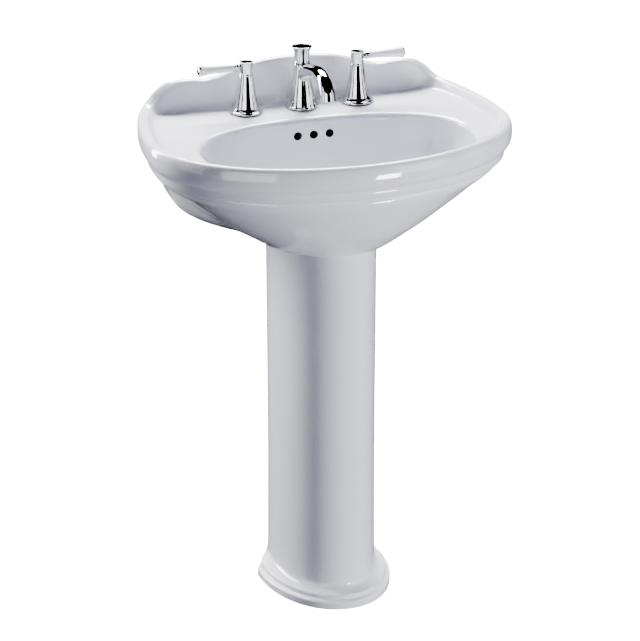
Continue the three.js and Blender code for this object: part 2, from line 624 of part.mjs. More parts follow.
function spoutTee() {
  const sleeveBlank = sleeve(15, SHANK_R + GAP, -TEE_DROP - 12, -TEE_DROP + 12, 20);
  const sideways = (bar) => ['x', '-x'].map((axis) => laid(bar.clone(), axis).translate(0, 0, -TEE_DROP));
  const ports = sideways(rod(8, 12, 30, 16));
  const bores = sideways(rod(TUBE_R + GAP, 18, 35, 16));
  return cut(joined(sleeveBlank, ...ports), rod(SHANK_R + GAP, -TEE_DROP - 14, -TEE_DROP + 14, 20), ...bores);
}

function liftKnob() {
  const top = KNOB_HEIGHT;
  const blank = turned([[0, 0], [13, 0], [13.6, 1.5], [12.6, 4], [13, 11], [14.2, 19], [16.4, 26],
    [KNOB_R, top - 2], [KNOB_R, top - 0.8], [KNOB_R - 1, top], [0, top]]);
  return cut(blank, rod(LIFT_ROD_R + GAP, -1, 20, 16));
}

const STRAP_TOP = DECK_Z - 125;
const STRAP_PIN_Z = PIVOT_Z - (FAUCET_Y - DRAIN_Y - PIVOT_ARM) * Math.tan(PIVOT_TILT);

function liftStrap() {
  const y = FAUCET_Y;
  const bar = block(-5, 5, y + 4, y + 6, STRAP_PIN_Z - 14, STRAP_TOP + 5);
  const head = block(-6, 6, y - 6, y + 6, STRAP_TOP - 10, STRAP_TOP + 6);
  const bore = rod(LIFT_ROD_R + GAP, STRAP_TOP - 20, STRAP_TOP + 10, 16).translate(0, y, 0);
  const screwHole = laid(rod(2.3, -12, 2, 12), 'y').translate(0, y - 3, STRAP_TOP - 2);
  const pinSlot = block(-2.6, 2.6, y, y + 10, STRAP_PIN_Z - 3.5, STRAP_PIN_Z + 3.5);
  return cut(joined(bar, head), bore, screwHole, pinSlot);
}

function strapScrew() {
  return laid(turned([[0, 0], [2, 0], [2, 5], [5.5, 5.3], [5.5, 11], [4.5, 12], [0, 12]], 16), '-y')
    .translate(0, FAUCET_Y - LIFT_ROD_R - 0.6, STRAP_TOP - 2);
}

function crossoverTube(side) {
  const start = HANDLE_X - 13;
  const points = [[start, -OUTLET_DROP], [start - 14, -OUTLET_DROP], [start - 34, -OUTLET_DROP - 4],
    [34, -TEE_DROP], [19, -TEE_DROP]]
    .map(([x, z]) => new THREE.Vector3(side * x, FAUCET_Y, DECK_Z + z));
  const section = new THREE.Shape().absarc(0, 0, TUBE_R, 0, 2 * Math.PI);
  return welded(new THREE.ExtrudeGeometry(section, {
    steps: 12, bevelEnabled: false, curveSegments: 5, extrudePath: new THREE.CatmullRomCurve3(points),
  }));
}

function faucet() {
  const shankFoot = -TEE_DROP - 16;
  const spout = new THREE.Group();
  spout.position.set(0, FAUCET_Y, DECK_Z);
  spout.add(
    piece('spout_gasket', sleeve(26, 17, GAP, GASKET - GAP), RUBBER_LOOK),
    piece('spout_body', spoutBody(), CHROME_LOOK, 0, 0, GASKET),
    piece('aerator', aerator(), CHROME_LOOK, 0, 0, GASKET),
    piece('spout_shank', sleeve(SHANK_R, LIFT_ROD_R + RUN, shankFoot, GASKET + 13, 20), BRASS_LOOK),
    piece('spout_tee', spoutTee(), BRASS_LOOK),
    piece('lift_knob', liftKnob(), CHROME_LOOK, 0, 0, GASKET + SPOUT_BODY_HEIGHT + GAP),
  );
  const rodTop = DECK_Z + GASKET + SPOUT_BODY_HEIGHT + 18;
  return [
    spout,
    ...underDeckNut('spout', 0),
    piece('lift_rod', rod(LIFT_ROD_R, STRAP_TOP - 9, rodTop, 16), CHROME_LOOK, 0, FAUCET_Y, 0),
    piece('lift_strap', liftStrap(), STEEL_LOOK),
    piece('strap_screw', strapScrew(), BRASS_LOOK),
    piece('hot_crossover_tube', crossoverTube(-1), COPPER_LOOK),
    piece('cold_crossover_tube', crossoverTube(1), COPPER_LOOK),
  ];
}

// ---------------------------------------------------------------- waste
const DRAIN_BORE_R = DRAIN_R - 2;
const NOZZLE_R = 10;
const NOZZLE_END = 34;
const BALL_R = 5.5;
const TAIL_TOP = -PIVOT_DROP - 30;   // below the bowl floor
const STOPPER_LIFT = 6;
const SEAL_R = 17.4;

function drainBody() {
  const tube = sleeve(DRAIN_R, DRAIN_BORE_R, TAIL_TOP - 12, -GAP);
  const nozzle = laid(rod(NOZZLE_R, 2, NOZZLE_END, 20), 'y').translate(0, 0, -PIVOT_DROP);
  const nozzleBore = laid(rod(BALL_R + RUN, 6, NOZZLE_END + 5, 20), 'y').translate(0, 0, -PIVOT_DROP);
  const bore = rod(DRAIN_BORE_R, TAIL_TOP - 15, 5);
  const tailSocket = rod(DRAIN_R - 0.8 + GAP, TAIL_TOP - 20, TAIL_TOP);
  return cut(joined(tube, nozzle), bore, nozzleBore, tailSocket);
}

function drainFlange() {
  const throat = SEAL_R + 0.8;
  return turned([[throat, GAP], [31, GAP], [31, 1.4], [28, 2.6], [20, 1.2], [throat, 0.9], [throat, GAP]]);
}

function stopper() {
  const lift = STOPPER_LIFT;
  const cap = turned([[0, lift - 1], [15, lift - 1], [15, lift + 1.2], [17, lift + 1.5], [19, lift + 3],
    [18.5, lift + 4.5], [10, lift + 6.2], [0, lift + 6.8]]);
  const foot = -PIVOT_DROP - 9;
  const stem = rod(3, foot + 16, lift + 1, 12);
  const eye = block(-5, 5, -4, 4, foot, foot + 18);
  const window = block(-2.6, 2.6, -6, 6, foot + 4, foot + 14);
  return cut(joined(cap, stem, eye), window);
}

function pivotRod() {
  const inner = -PIVOT_ARM - 3;
  const outer = (FAUCET_Y - DRAIN_Y - PIVOT_ARM) / Math.cos(PIVOT_TILT) + 22;
  const ball = new THREE.SphereGeometry(BALL_R, 16, 10);
  return laid(joined(rod(1.7, inner, outer, 12), ball), 'y').rotateX(-PIVOT_TILT);
}

function pivotNut() {
  const bore = NOZZLE_R + GAP;
  const skirt = [[bore, NOZZLE_END - 12], [NOZZLE_R + 3, NOZZLE_END - 12], [NOZZLE_R + 3, NOZZLE_END + 4]];
  const cap = [[5, NOZZLE_END + 4], [5, NOZZLE_END + GAP], [bore, NOZZLE_END + GAP], [bore, NOZZLE_END - 12]];
  return laid(turned([...skirt, ...cap], 20), 'y');
}

function tailpiece() {
  return sleeve(DRAIN_R - 0.8, DRAIN_R - 2.6, TAIL_TOP - TAILPIECE_LENGTH, TAIL_TOP - GAP);
}

function springClip() {
  return cut(block(-5, 5, 0, 1, -8, 8), block(-3, 3, -1, 3, -5, 5));
}

function waste() {
  const nutTop = -CHINA - GAP;
  const group = new THREE.Group();
  group.position.set(0, DRAIN_Y, BOWL_FLOOR_Z);
  const clipY = FAUCET_Y + 6.4 - DRAIN_Y;
  const clipZ = STRAP_PIN_Z - BOWL_FLOOR_Z;
  group.add(
    piece('drain_flange', drainFlange(), CHROME_LOOK),
    piece('drain_body', drainBody(), CHROME_LOOK),
    piece('drain_gasket', sleeve(30, DRAIN_R + GAP, nutTop - 4, nutTop), RUBBER_LOOK),
    piece('drain_washer', sleeve(29, DRAIN_R + GAP, nutTop - 5.8, nutTop - 4.3), STEEL_LOOK),
    piece('drain_locknut', hexNut(48, DRAIN_R + GAP, nutTop - 15, nutTop - 6.1), BRASS_LOOK),
    piece('stopper', stopper(), CHROME_LOOK),
    piece('stopper_seal', sleeve(SEAL_R, 15 + GAP, STOPPER_LIFT - 0.8, STOPPER_LIFT + 0.9, 20), RUBBER_LOOK),
    piece('tailpiece', tailpiece(), CHROME_LOOK),
    piece('pivot_rod', pivotRod(), CHROME_LOOK, 0, PIVOT_ARM, -PIVOT_DROP),
    piece('pivot_nut', pivotNut(), CHROME_LOOK, 0, 0, -PIVOT_DROP),
    piece('spring_clip', springClip(), STEEL_LOOK, 0, clipY, clipZ),
  );
  return group;
}

// ---------------------------------------------------------------- fixings
function wallFixing(name, x) {
  const inner = -CHINA - GAP;
  const group = new THREE.Group();
  group.position.set(x, WALL_Y, RIM_HEIGHT - WALL_BOLT_DROP);
  group.add(
    piece(`${name}_wall_bolt`, laid(rod(WALL_BOLT_R, inner - 20, -GAP, 12), 'y'), STEEL_LOOK),
    piece(`${name}_wall_washer`, laid(sleeve(14, WALL_BOLT_R + GAP, inner - 2, inner, 20), 'y'), STEEL_LOOK),
    piece(`${name}_wall_nut`, laid(hexNut(13, WALL_BOLT_R + GAP, inner - 9, inner - 2 - GAP), 'y'), STEEL_LOOK),
  );
  return group;
}

function floorScrew(name, side) {
  const group = new THREE.Group();
  group.position.set(side * FLOOR_SCREW_X, FLOOR_SCREW_Y, 0);
  const seat = FOOT_FLANGE + 2;
  group.add(
    piece(`${name}_floor_screw`, turned([[0, GAP], [3.2, GAP], [3.2, seat], [6, seat], [6, seat + 3], [4, seat + 5],
      [0, seat + 5.4]], 16), STEEL_LOOK),
    piece(`${name}_floor_washer`, sleeve(9, 3.5, FOOT_FLANGE + GAP, FOOT_FLANGE + 1.7, 16), NYLON_LOOK),
  );
  return group;
}

// ---------------------------------------------------------------- assembly
const sink = new THREE.Group();
sink.add(
  piece('basin', basin(), CHINA_LOOK),
  piece('pedestal', pedestal(), CHINA_LOOK),
  ...handleSet('hot', -1),
  ...handleSet('cold', 1),
  ...faucet(),
  waste(),
  wallFixing('left', -WALL_BOLT_X),
  wallFixing('right', WALL_BOLT_X),
  floorScrew('left', -1),
  floorScrew('right', 1),
);

export default sink;
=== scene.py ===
# %% [markdown]
# # A pedestal sink
# The frame already fixes where every piece of the sink is and how it moves. This lesson gives the
# pieces their looks: vitreous china, plated brass, rubber and steel, each with a surface that varies.
# The sizes come from the frame, so a taller or wider sink would still be dressed by the same steps.

# %% Start from the frame
import json
import math

import bmesh
import bpy
import numpy as np
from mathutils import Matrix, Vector


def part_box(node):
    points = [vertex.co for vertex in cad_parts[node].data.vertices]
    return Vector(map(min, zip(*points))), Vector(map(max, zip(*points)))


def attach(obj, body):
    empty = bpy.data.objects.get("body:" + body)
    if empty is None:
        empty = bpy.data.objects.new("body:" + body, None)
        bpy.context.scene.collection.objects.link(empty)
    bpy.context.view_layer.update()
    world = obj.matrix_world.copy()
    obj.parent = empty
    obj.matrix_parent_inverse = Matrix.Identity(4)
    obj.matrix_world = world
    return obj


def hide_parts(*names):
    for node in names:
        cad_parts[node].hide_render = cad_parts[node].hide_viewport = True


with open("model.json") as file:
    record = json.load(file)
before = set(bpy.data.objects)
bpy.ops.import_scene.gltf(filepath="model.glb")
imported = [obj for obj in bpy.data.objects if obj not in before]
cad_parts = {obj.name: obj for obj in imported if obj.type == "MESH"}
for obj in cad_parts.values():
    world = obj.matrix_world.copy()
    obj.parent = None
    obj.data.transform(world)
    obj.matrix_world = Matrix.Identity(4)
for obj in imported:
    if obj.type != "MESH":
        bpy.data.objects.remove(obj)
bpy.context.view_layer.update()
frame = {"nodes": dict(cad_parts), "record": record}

# %% [markdown]
# Shader maths reads best as plain arithmetic. A small class stands for one value in a material's
# node graph: adding or multiplying it makes a maths node, and `make` adds any other kind of node.

# %% A value in a shader
class Value:
    def __init__(self, tree, output=None):
        self.tree = tree
        self.output = output

    def make(self, kind, settings=None, inputs=None, out=0):
        node = self.tree.nodes.new("ShaderNode" + kind)
        for name, setting in (settings or {}).items():
            setattr(node, name, setting)
        for name, value in (inputs or {}).items():
            if isinstance(value, Value):
                self.tree.links.new(value.output, node.inputs[name])
            else:
                node.inputs[name].default_value = value
        return Value(self.tree, node.outputs[out])

    def maths(self, operation, first, second=0.0):
        return self.make("Math", {"operation": operation}, {0: first, 1: second})

    def __add__(self, other):
        return self.maths("ADD", self, other)

    def __radd__(self, other):
        return self.maths("ADD", other, self)

    def __sub__(self, other):
        return self.maths("SUBTRACT", self, other)

    def __rsub__(self, other):
        return self.maths("SUBTRACT", other, self)

    def __mul__(self, other):
        return self.maths("MULTIPLY", self, other)

    def __rmul__(self, other):
        return self.maths("MULTIPLY", other, self)

    def __pow__(self, other):
        return self.maths("POWER", self, other)


def noise(start, scale, detail=3.0):
    where = start.make("TexCoord", out="Object")
    return start.make("TexNoise", inputs={"Vector": where, "Scale": scale, "Detail": detail})


def mix(start, share, first, second):
    return start.make("Mix", {"data_type": "RGBA"}, {0: share, 6: (*first, 1), 7: (*second, 1)}, out=2)


def material(name, build, **constants):
    made = bpy.data.materials.new(name)
    made.use_nodes = True
    tree = made.node_tree
    shader = tree.nodes["Principled BSDF"]
    for socket, constant in constants.items():
        shader.inputs[socket.replace("_", " ")].default_value = constant
    for socket, value in build(Value(tree)).items():
        tree.links.new(value.output, shader.inputs[socket])
    print("material", name, "nodes:", len(tree.nodes))
    return made

# %% [markdown]
# Vitreous china is white clay under a glass glaze. The glaze is hard and glossy, with a faint
# orange-peel ripple from the firing, and it pools to a slightly cooler white where it runs thick.
# Two noises, one broad and one fine, carry the tint and the gloss; a third, barely raised, is the ripple.

# %% China glaze
def china_surface(start):
    broad = noise(start, 5.0)
    fine = noise(start, 45.0, 5.0)
    ripple = noise(start, 260.0, 2.0)
    tint = broad * 0.75 + fine * 0.25
    colour = mix(start, tint, (0.78, 0.785, 0.865), (0.86, 0.865, 0.925))
    height = ripple * 0.6 + fine * 0.4
    bump = start.make("Bump", inputs={"Height": height, "Strength": 0.06, "Distance": 0.0006})
    return {"Base Color": colour, "Roughness": fine ** 2.0 * 0.06 + broad * 0.04 + 0.03, "Normal": bump}


china = material("china", china_surface, IOR=1.52, Coat_Weight=0.35, Coat_Roughness=0.02)

# %% [markdown]
# Chrome plate takes its look from what it mirrors. Wiped-dry water leaves soft patches where the
# mirror is a little less sharp, and the buffed brass below it keeps a very slight waviness.

# %% Chrome plate
def chrome_surface(start):
    smears = noise(start, 28.0, 4.0)
    wave = noise(start, 90.0, 1.0)
    dust = noise(start, 900.0, 2.0)
    colour = mix(start, smears, (0.50, 0.51, 0.53), (0.60, 0.605, 0.615))
    height = wave * 0.8 + dust * 0.2
    bump = start.make("Bump", inputs={"Height": height, "Strength": 0.05, "Distance": 0.0004})
    return {"Base Color": colour, "Roughness": smears ** 3.0 * 0.16 + dust * 0.02 + 0.01, "Normal": bump}


chrome = material("chrome", chrome_surface, Metallic=1.0)

# %% [markdown]
# The hidden fittings are rough brass castings, drawn copper tube and zinc-plated steel. They are not
# polished: the brass has dull brown blooms, the copper has darkened in streaks, and the zinc shows
# its spangle, a patchwork of crystal facets.

# %% Brass, copper and steel
def brass_surface(start):
    bloom = noise(start, 60.0, 6.0)
    grain = noise(start, 700.0, 3.0)
    colour = mix(start, bloom ** 1.5, (0.40, 0.26, 0.10), (0.72, 0.54, 0.24))
    bump = start.make("Bump", inputs={"Height": grain, "Strength": 0.25, "Distance": 0.0003})
    return {"Base Color": colour, "Roughness": 0.55 - bloom * 0.3 + grain * 0.1, "Normal": bump}


def copper_surface(start):
    streaks = noise(start, 35.0, 6.0)
    grain = noise(start, 500.0, 2.0)
    colour = mix(start, streaks, (0.30, 0.12, 0.07), (0.80, 0.42, 0.26))
    bump = start.make("Bump", inputs={"Height": grain, "Strength": 0.12, "Distance": 0.0002})
    return {"Base Color": colour, "Roughness": 0.5 - streaks * 0.3 + grain * 0.08, "Normal": bump}


def steel_surface(start):
    where = start.make("TexCoord", out="Object")
    spangle = start.make("TexVoronoi", inputs={"Vector": where, "Scale": 380.0})
    cloud = noise(start, 80.0, 4.0)
    colour = mix(start, spangle * 0.7 + cloud * 0.3, (0.38, 0.39, 0.41), (0.66, 0.67, 0.69))
    bump = start.make("Bump", inputs={"Height": spangle, "Strength": 0.1, "Distance": 0.0002})
    return {"Base Color": colour, "Roughness": 0.28 + cloud * 0.3, "Normal": bump}


brass = material("brass", brass_surface, Metallic=1.0)
copper = material("copper", copper_surface, Metallic=1.0)
steel = material("steel", steel_surface, Metallic=1.0)

# %% [markdown]
# Deep inside the overflow channel and its holes there is only shade, so their faces get painted shade: a
# near-black colour with a faint mottle, rougher than the glaze.

# %% Painted shade for the overflow channel
def channel_shade_surface(start):
    mottle = noise(start, 70.0, 5.0)
    grain = noise(start, 900.0, 3.0)
    # Painted shade: these near-black colours stand for the dark inside the channel; the noise only mottles
    # them.
    colour = mix(start, mottle, (0.004, 0.004, 0.005), (0.02, 0.019, 0.02))
    bump = start.make("Bump", inputs={"Height": grain, "Strength": 0.3, "Distance": 0.0003})
    return {"Base Color": colour, "Roughness": 0.75 + mottle * 0.2, "Normal": bump}


channel_shade = material("channel_shade", channel_shade_surface, Specular_IOR_Level=0.2)

# %% [markdown]
# The gaskets are black moulded rubber with a grey bloom, and the floor washers are off-white nylon
# with the faint grain of the mould.

# %% Rubber and nylon
def rubber_surface(start):
    bloom = noise(start, 120.0, 5.0)
    grain = noise(start, 1200.0, 2.0)
    colour = mix(start, bloom ** 2.0, (0.012, 0.012, 0.013), (0.06, 0.06, 0.065))
    bump = start.make("Bump", inputs={"Height": grain, "Strength": 0.3, "Distance": 0.0002})
    return {"Base Color": colour, "Roughness": 0.6 + bloom * 0.3, "Normal": bump}


def nylon_surface(start):
    cloud = noise(start, 150.0, 4.0)
    grain = noise(start, 1500.0, 2.0)
    colour = mix(start, cloud, (0.62, 0.61, 0.56), (0.78, 0.78, 0.74))
    bump = start.make("Bump", inputs={"Height": grain, "Strength": 0.2, "Distance": 0.0002})
    return {"Base Color": colour, "Roughness": 0.35 + cloud * 0.2, "Normal": bump}


rubber = material("rubber", rubber_surface)
nylon = material("nylon", nylon_surface)
SLOTS = {"china": china, "chrome": chrome, "brass": brass, "copper": copper, "steel": steel,
         "rubber": rubber, "nylon": nylon}

# %% [markdown]
# Every piece of the frame first gets the finish of its slot. Pieces that are made again in finer
# detail below replace theirs, so only small hidden ones are still seen as they came.

# %% Finish every frame piece
for part in frame["record"]["subparts"]:
    node = frame["nodes"][part["node"]]
    node.data.materials.clear()
    node.data.materials.append(SLOTS[part["material_slot"]])
slot_of = {part["node"]: part["material_slot"] for part in frame["record"]["subparts"]}
body_of = {name: body for body, names in frame["record"]["behaviour"]["bodies"].items() for name in names}
print("finished:", len(slot_of))

# %% [markdown]
# Sizes are worked in millimetres and turned into metres when a mesh is made. A skin over a stack of
# rings makes the china; a turned profile makes the metal; and small fillets catch the light on edges.

# %% Mesh tools
def box_mm(node):
    low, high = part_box(node)
    return np.array(low) * 1000, np.array(high) * 1000


def centre_mm(node):
    low, high = box_mm(node)
    return (low + high) / 2


def new_object(name, points, faces, smooth=40):
    mesh = bpy.data.meshes.new(name)
    mesh.from_pydata((np.array(points) / 1000).tolist(), [], faces)
    mesh.validate()
    made = bpy.data.objects.new(name, mesh)
    bpy.context.scene.collection.objects.link(made)
    soften(made, smooth)
    return made


def soften(made, angle=40):
    made.data.shade_smooth()
    made.data.set_sharp_from_angle(angle=math.radians(angle))


def skin(name, rings, looped=False, smooth=40):
    count = len(rings[0])
    points = np.concatenate(rings)
    faces = []
    spans = len(rings) if looped else len(rings) - 1
    for k in range(spans):
        low, high = k * count, (k + 1) % len(rings) * count
        for i in range(count):
            j = (i + 1) % count
            faces.append((low + i, low + j, high + j, high + i))
    if not looped:
        ends = [rings[0].mean(axis=0), rings[-1].mean(axis=0)]
        top = len(points) - count
        points = np.concatenate([points, ends])
        for i in range(count):
            j = (i + 1) % count
            faces.append((len(points) - 2, j, i))
            faces.append((len(points) - 1, top + i, top + j))
    return new_object(name, points, faces, smooth)


def spline(knots, steps):
    knots = [np.array(k, float) for k in knots]
    padded = [2 * knots[0] - knots[1], *knots, 2 * knots[-1] - knots[-2]]
    out = []
    for a, b, c, d in zip(padded, padded[1:], padded[2:], padded[3:]):
        for k in range(steps):
            t = k / steps
            out.append(0.5 * (2 * b + (c - a) * t + (2 * a - 5 * b + 4 * c - d) * t ** 2
                              + (3 * b - a - 3 * c + d) * t ** 3))
    return [*out, knots[-1]]


def filleted(profile, radius, closed=False):
    points = [np.array(p, float) for p in profile]
    out = []
    for i, here in enumerate(points):
        if not closed and i in (0, len(points) - 1):
            out.append(here)
            continue
        before, after = points[i - 1], points[(i + 1) % len(points)]
        into, away = before - here, after - here
        reach = min(radius, 0.45 * np.linalg.norm(into), 0.45 * np.linalg.norm(away))
        start = here + into / np.linalg.norm(into) * reach
        end = here + away / np.linalg.norm(away) * reach
        for t in (0.0, 0.33, 0.67, 1.0):
            out.append(start * (1 - t) ** 2 + 2 * here * t * (1 - t) + end * t ** 2)
    return out


def lathe(name, profile, sides, closed=False, axis="z", at=(0, 0, 0)):
    turn = np.linspace(0, 2 * math.pi, sides, endpoint=False)
    rings = []
    for r, h in profile:
        r = max(r, 0.0)
        rings.append(np.stack([r * np.cos(turn), r * np.sin(turn), np.full(sides, h)], axis=1))
    made = skin(name, rings, looped=closed)
    if not closed:
        tidy_mesh(made, 1e-7)
    lay(made, axis, at)
    return made


def tidy_mesh(made, weld=0.0):
    mesh = bmesh.new()
    mesh.from_mesh(made.data)
    if weld:
        bmesh.ops.remove_doubles(mesh, verts=mesh.verts, dist=weld)
    bmesh.ops.recalc_face_normals(mesh, faces=mesh.faces)
    mesh.to_mesh(made.data)
    mesh.free()
    soften(made)
    return made


TURNS = {"z": ((1, 0, 0), (0, 1, 0), (0, 0, 1)), "-z": ((1, 0, 0), (0, -1, 0), (0, 0, -1)),
         "x": ((0, 0, 1), (0, 1, 0), (-1, 0, 0)), "-x": ((0, 0, -1), (0, 1, 0), (1, 0, 0)),
         "y": ((1, 0, 0), (0, 0, 1), (0, -1, 0)), "-y": ((1, 0, 0), (0, 0, -1), (0, 1, 0))}


def lay(made, axis, at):
    turn = np.array(TURNS[axis], float)
    count = len(made.data.vertices)
    points = np.empty(count * 3)
    made.data.vertices.foreach_get("co", points)
    points = points.reshape(-1, 3) @ turn.T + np.array(at, float) / 1000
    made.data.vertices.foreach_set("co", points.ravel())
    made.data.update()


def tip(made, angle, at):
    cosine, sine = math.cos(angle), math.sin(angle)
    turn = np.array([[1, 0, 0], [0, cosine, -sine], [0, sine, cosine]])
    points = np.array([vertex.co[:] for vertex in made.data.vertices]) @ turn.T
    made.data.vertices.foreach_set("co", (points + np.array(at, float) / 1000).ravel())
    made.data.update()


def block(name, x0, x1, y0, y1, z0, z1, bevel=0.0):
    low, high = (x0, y0, z0), (x1, y1, z1)
    points = [[(low, high)[k >> axis & 1][axis] for axis in range(3)] for k in range(8)]
    faces = [(0, 2, 3, 1), (4, 5, 7, 6), (0, 1, 5, 4), (2, 6, 7, 3), (0, 4, 6, 2), (1, 3, 7, 5)]
    made = new_object(name, points, faces)
    if bevel:
        edge = made.modifiers.new("edge", "BEVEL")
        edge.width = bevel / 1000
        edge.segments = 3
        bake(made)
    return made


def bake(made, angle=40):
    graph = bpy.context.evaluated_depsgraph_get()
    mesh = bpy.data.meshes.new_from_object(made.evaluated_get(graph), depsgraph=graph)
    made.modifiers.clear()
    old = made.data
    made.data = mesh
    bpy.data.meshes.remove(old)
    soften(made, angle)


def combine(made, tools, operation="DIFFERENCE", angle=40):
    for tool in tools:
        step = made.modifiers.new(tool.name, "BOOLEAN")
        step.object = tool
        step.operation = operation
        step.solver = "MANIFOLD"
    bake(made, angle)
    for tool in tools:
        bpy.data.objects.remove(tool)
    return made


def finish_piece(made, node):
    made.data.materials.clear()
    made.data.materials.append(SLOTS[slot_of[node]])
    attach(made, body_of[node])
    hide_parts(node)
    print(made.name, "faces:", len(made.data.polygons))
    return made

# %% [markdown]
# The basin's outline bows to the front and is flat against the wall, where its upstand rises in a
# double curve. The same few formulas give the outline at any height, so a stack of rings makes it.

# %% Outlines of the china
basin_low, basin_high = box_mm("basin")
WIDTH = basin_high[0] - basin_low[0]
DEPTH = basin_high[1] - basin_low[1]
WALL = basin_high[1]
RISE = 66.0
RIM = basin_high[2] - RISE
DECK = RIM - 14
SEAT = RIM - 201
APRON = RIM - 66
RAIL = RIM - 94
CHINA = 13.0
RIM_RUN = DEPTH / 2
RIM_Y = WALL - RIM_RUN
COLUMN_Y = WALL - 165
SKIRT_Y = COLUMN_Y + 44
FAUCET_Y = centre_mm("spout_gasket")[1]
DRAIN_Y = centre_mm("drain_flange")[1]
BOWL_BACK = FAUCET_Y - 66
BOWL_FRONT = -WALL + 34
BOWL_Y = (BOWL_BACK + BOWL_FRONT) / 2
BOWL_HALF_Y = (BOWL_BACK - BOWL_FRONT) / 2
BOWL_HALF_X = WIDTH / 2 - 84
BOWL_DEPTH = 146.0
HOLE_PITCH = 29
OVERFLOW_Z = DECK - 30
COLUMN_POWER = 2.08
COLUMN = (90.0, 146.0, 137.0)
FOOT = (118.0, 177.0, 52.0)
CORNER = math.atan2(RIM_RUN, WIDTH * 0.43)
CREST = [(0, 1), (0.18, 0.968), (0.345, 0.85), (0.49, 0.65), (0.61, 0.56), (0.74, 0.6), (0.83, 0.565),
         (0.88, 0.47), (0.93, 0.32), (0.98, 0.16), (1.06, 0.04), (1.3, 0)]
even = np.linspace(0, 2 * math.pi, 320, endpoint=False)
close = np.concatenate([CORNER + np.linspace(-0.1, 0.1, 25), math.pi - CORNER + np.linspace(-0.1, 0.1, 25)])
apart = even[np.abs(even[:, None] - close[None, :]).min(axis=1) > 0.006]
ANGLES = np.sort(np.concatenate([apart, close]))


def hermite(x, knots):
    xs, ys = np.array(knots, float).T
    slopes = np.zeros(len(xs))
    slopes[1:-1] = (ys[2:] - ys[:-2]) / (xs[2:] - xs[:-2])
    x = np.clip(x, xs[0], xs[-1])
    i = np.clip(np.searchsorted(xs, x, side="left") - 1, 0, len(xs) - 2)
    h = xs[i + 1] - xs[i]
    t = (x - xs[i]) / h
    return ((2 * t ** 3 - 3 * t ** 2 + 1) * ys[i] + (t ** 3 - 2 * t ** 2 + t) * h * slopes[i]
            + (3 * t ** 2 - 2 * t ** 3) * ys[i + 1] + (t ** 3 - t ** 2) * h * slopes[i + 1])


def plan_radius(angles, half, front, back, front_power, back_power):
    ahead = np.sin(angles) < 0
    power = np.where(ahead, front_power, back_power)
    reach = np.where(ahead, front, back)
    return ((np.abs(np.cos(angles)) / half) ** power
            + (np.abs(np.sin(angles)) / reach) ** power) ** (-1 / power)


def blended_min(a, b, sharpness):
    return (a ** -sharpness + b ** -sharpness) ** (-1 / sharpness)


def ring(centre_y, radius, height):
    height = np.broadcast_to(height, ANGLES.shape)
    return np.stack([radius * np.cos(ANGLES), centre_y + radius * np.sin(ANGLES), height], axis=1)


def rim_radius(inset, wall_inset=0.0):
    free = plan_radius(ANGLES, WIDTH / 2 - inset, DEPTH - RIM_RUN - inset, 435 - inset, 2.03, 2)
    to_wall = (RIM_RUN - wall_inset) / np.maximum(np.sin(ANGLES), 1e-3)
    return np.where(np.sin(ANGLES) > 0, blended_min(free, to_wall, 30), free)


across = np.abs(np.cos(ANGLES)) / np.maximum(np.abs(np.sin(ANGLES)), 1e-3) * math.tan(CORNER)
CREST_HEIGHT = np.where(np.sin(ANGLES) > 0.01, RISE * hermite(across, CREST), 0.0)
print("outline points:", len(ANGLES), "crest top:", CREST_HEIGHT.max())

# %% [markdown]
# Below the apron the body is two shapes run together: a belly that narrows down to the column and a
# skirt that wraps round behind it. A soft blend between them leaves the valley seen from the side.

# %% Belly and skirt
def belly_size(z, inset):
    def fall(foot):
        return min(max((APRON - z) / (APRON - foot), 0), 1)
    side = (1 - fall(SEAT - 22) ** 1.05) ** (1 / 1.05)
    nose = (1 - fall(SEAT - 10) ** 1.41) ** (1 / 1.41)
    half, front = COLUMN[0] + 2, COLUMN[1] - 13
    return (COLUMN_Y + (RIM_Y - COLUMN_Y) * side, half + (WIDTH / 2 - 23 - half) * side - inset,
            front + (DEPTH - RIM_RUN - 17 - front) * nose - inset, 183 - inset)


def skirt_size(z, inset):
    foot, knee = RIM - 208, RIM - 141
    fall = min(max((knee - z) / 67, 0), 1)
    below = 119 + (252 - 119) * (1 - fall ** 1.5) ** (1 / 1.5)
    above = 252 + 24 * max(0, (z - knee) / (APRON - knee))
    half = 1 if z < foot else (below if z < knee else above) - inset
    return SKIRT_Y, half, min(max(85 + 2.7 * (z - foot), 1 + inset), 220) - inset, 400


def section_norm(x, y, size, power):
    reach = np.where(y < size[0], size[2], size[3])
    return ((np.abs(x) / size[1]) ** power + (np.abs(y - size[0]) / reach) ** power) ** (1 / power)


def body_radius(z, inset, back):
    belly, skirt = belly_size(z, inset), skirt_size(z, inset)

    def inside(r):
        x, y = r * np.cos(ANGLES), RIM_Y + r * np.sin(ANGLES)
        power = np.where(y < SKIRT_Y, 1.4, 2.2)
        return blended_min(section_norm(x, y, belly, 2.05), section_norm(x, y, skirt, power), 14.0) <= 1

    tries = np.arange(4, WIDTH + 4, 4.0)
    reached = np.array([inside(np.full(ANGLES.shape, r)) for r in tries])
    last = len(tries) - 1 - np.argmax(reached[::-1], axis=0)
    low = tries[last]
    high = low + 4
    for _ in range(16):
        mid = (low + high) / 2
        hit = inside(mid)
        low, high = np.where(hit, mid, low), np.where(hit, high, mid)
    to_wall = np.where(np.sin(ANGLES) > 0, (back - RIM_Y) / np.maximum(np.sin(ANGLES), 1e-6), np.inf)
    return np.minimum(low, to_wall)


def body_ring(z, inset=0.0, back=np.inf, share=1.0, height=None):
    radius = body_radius(z, inset, back) * share + rim_radius(23 + inset) * (1 - share)
    return ring(RIM_Y, radius, z if height is None else height)


def bowl_ring(grow, share, z):
    edge = plan_radius(ANGLES, BOWL_HALF_X, BOWL_HALF_Y, BOWL_HALF_Y, 2.4, 2.4)
    return ring(DRAIN_Y + (BOWL_Y - DRAIN_Y) * share, 38 + (edge - 38) * share + grow, z)


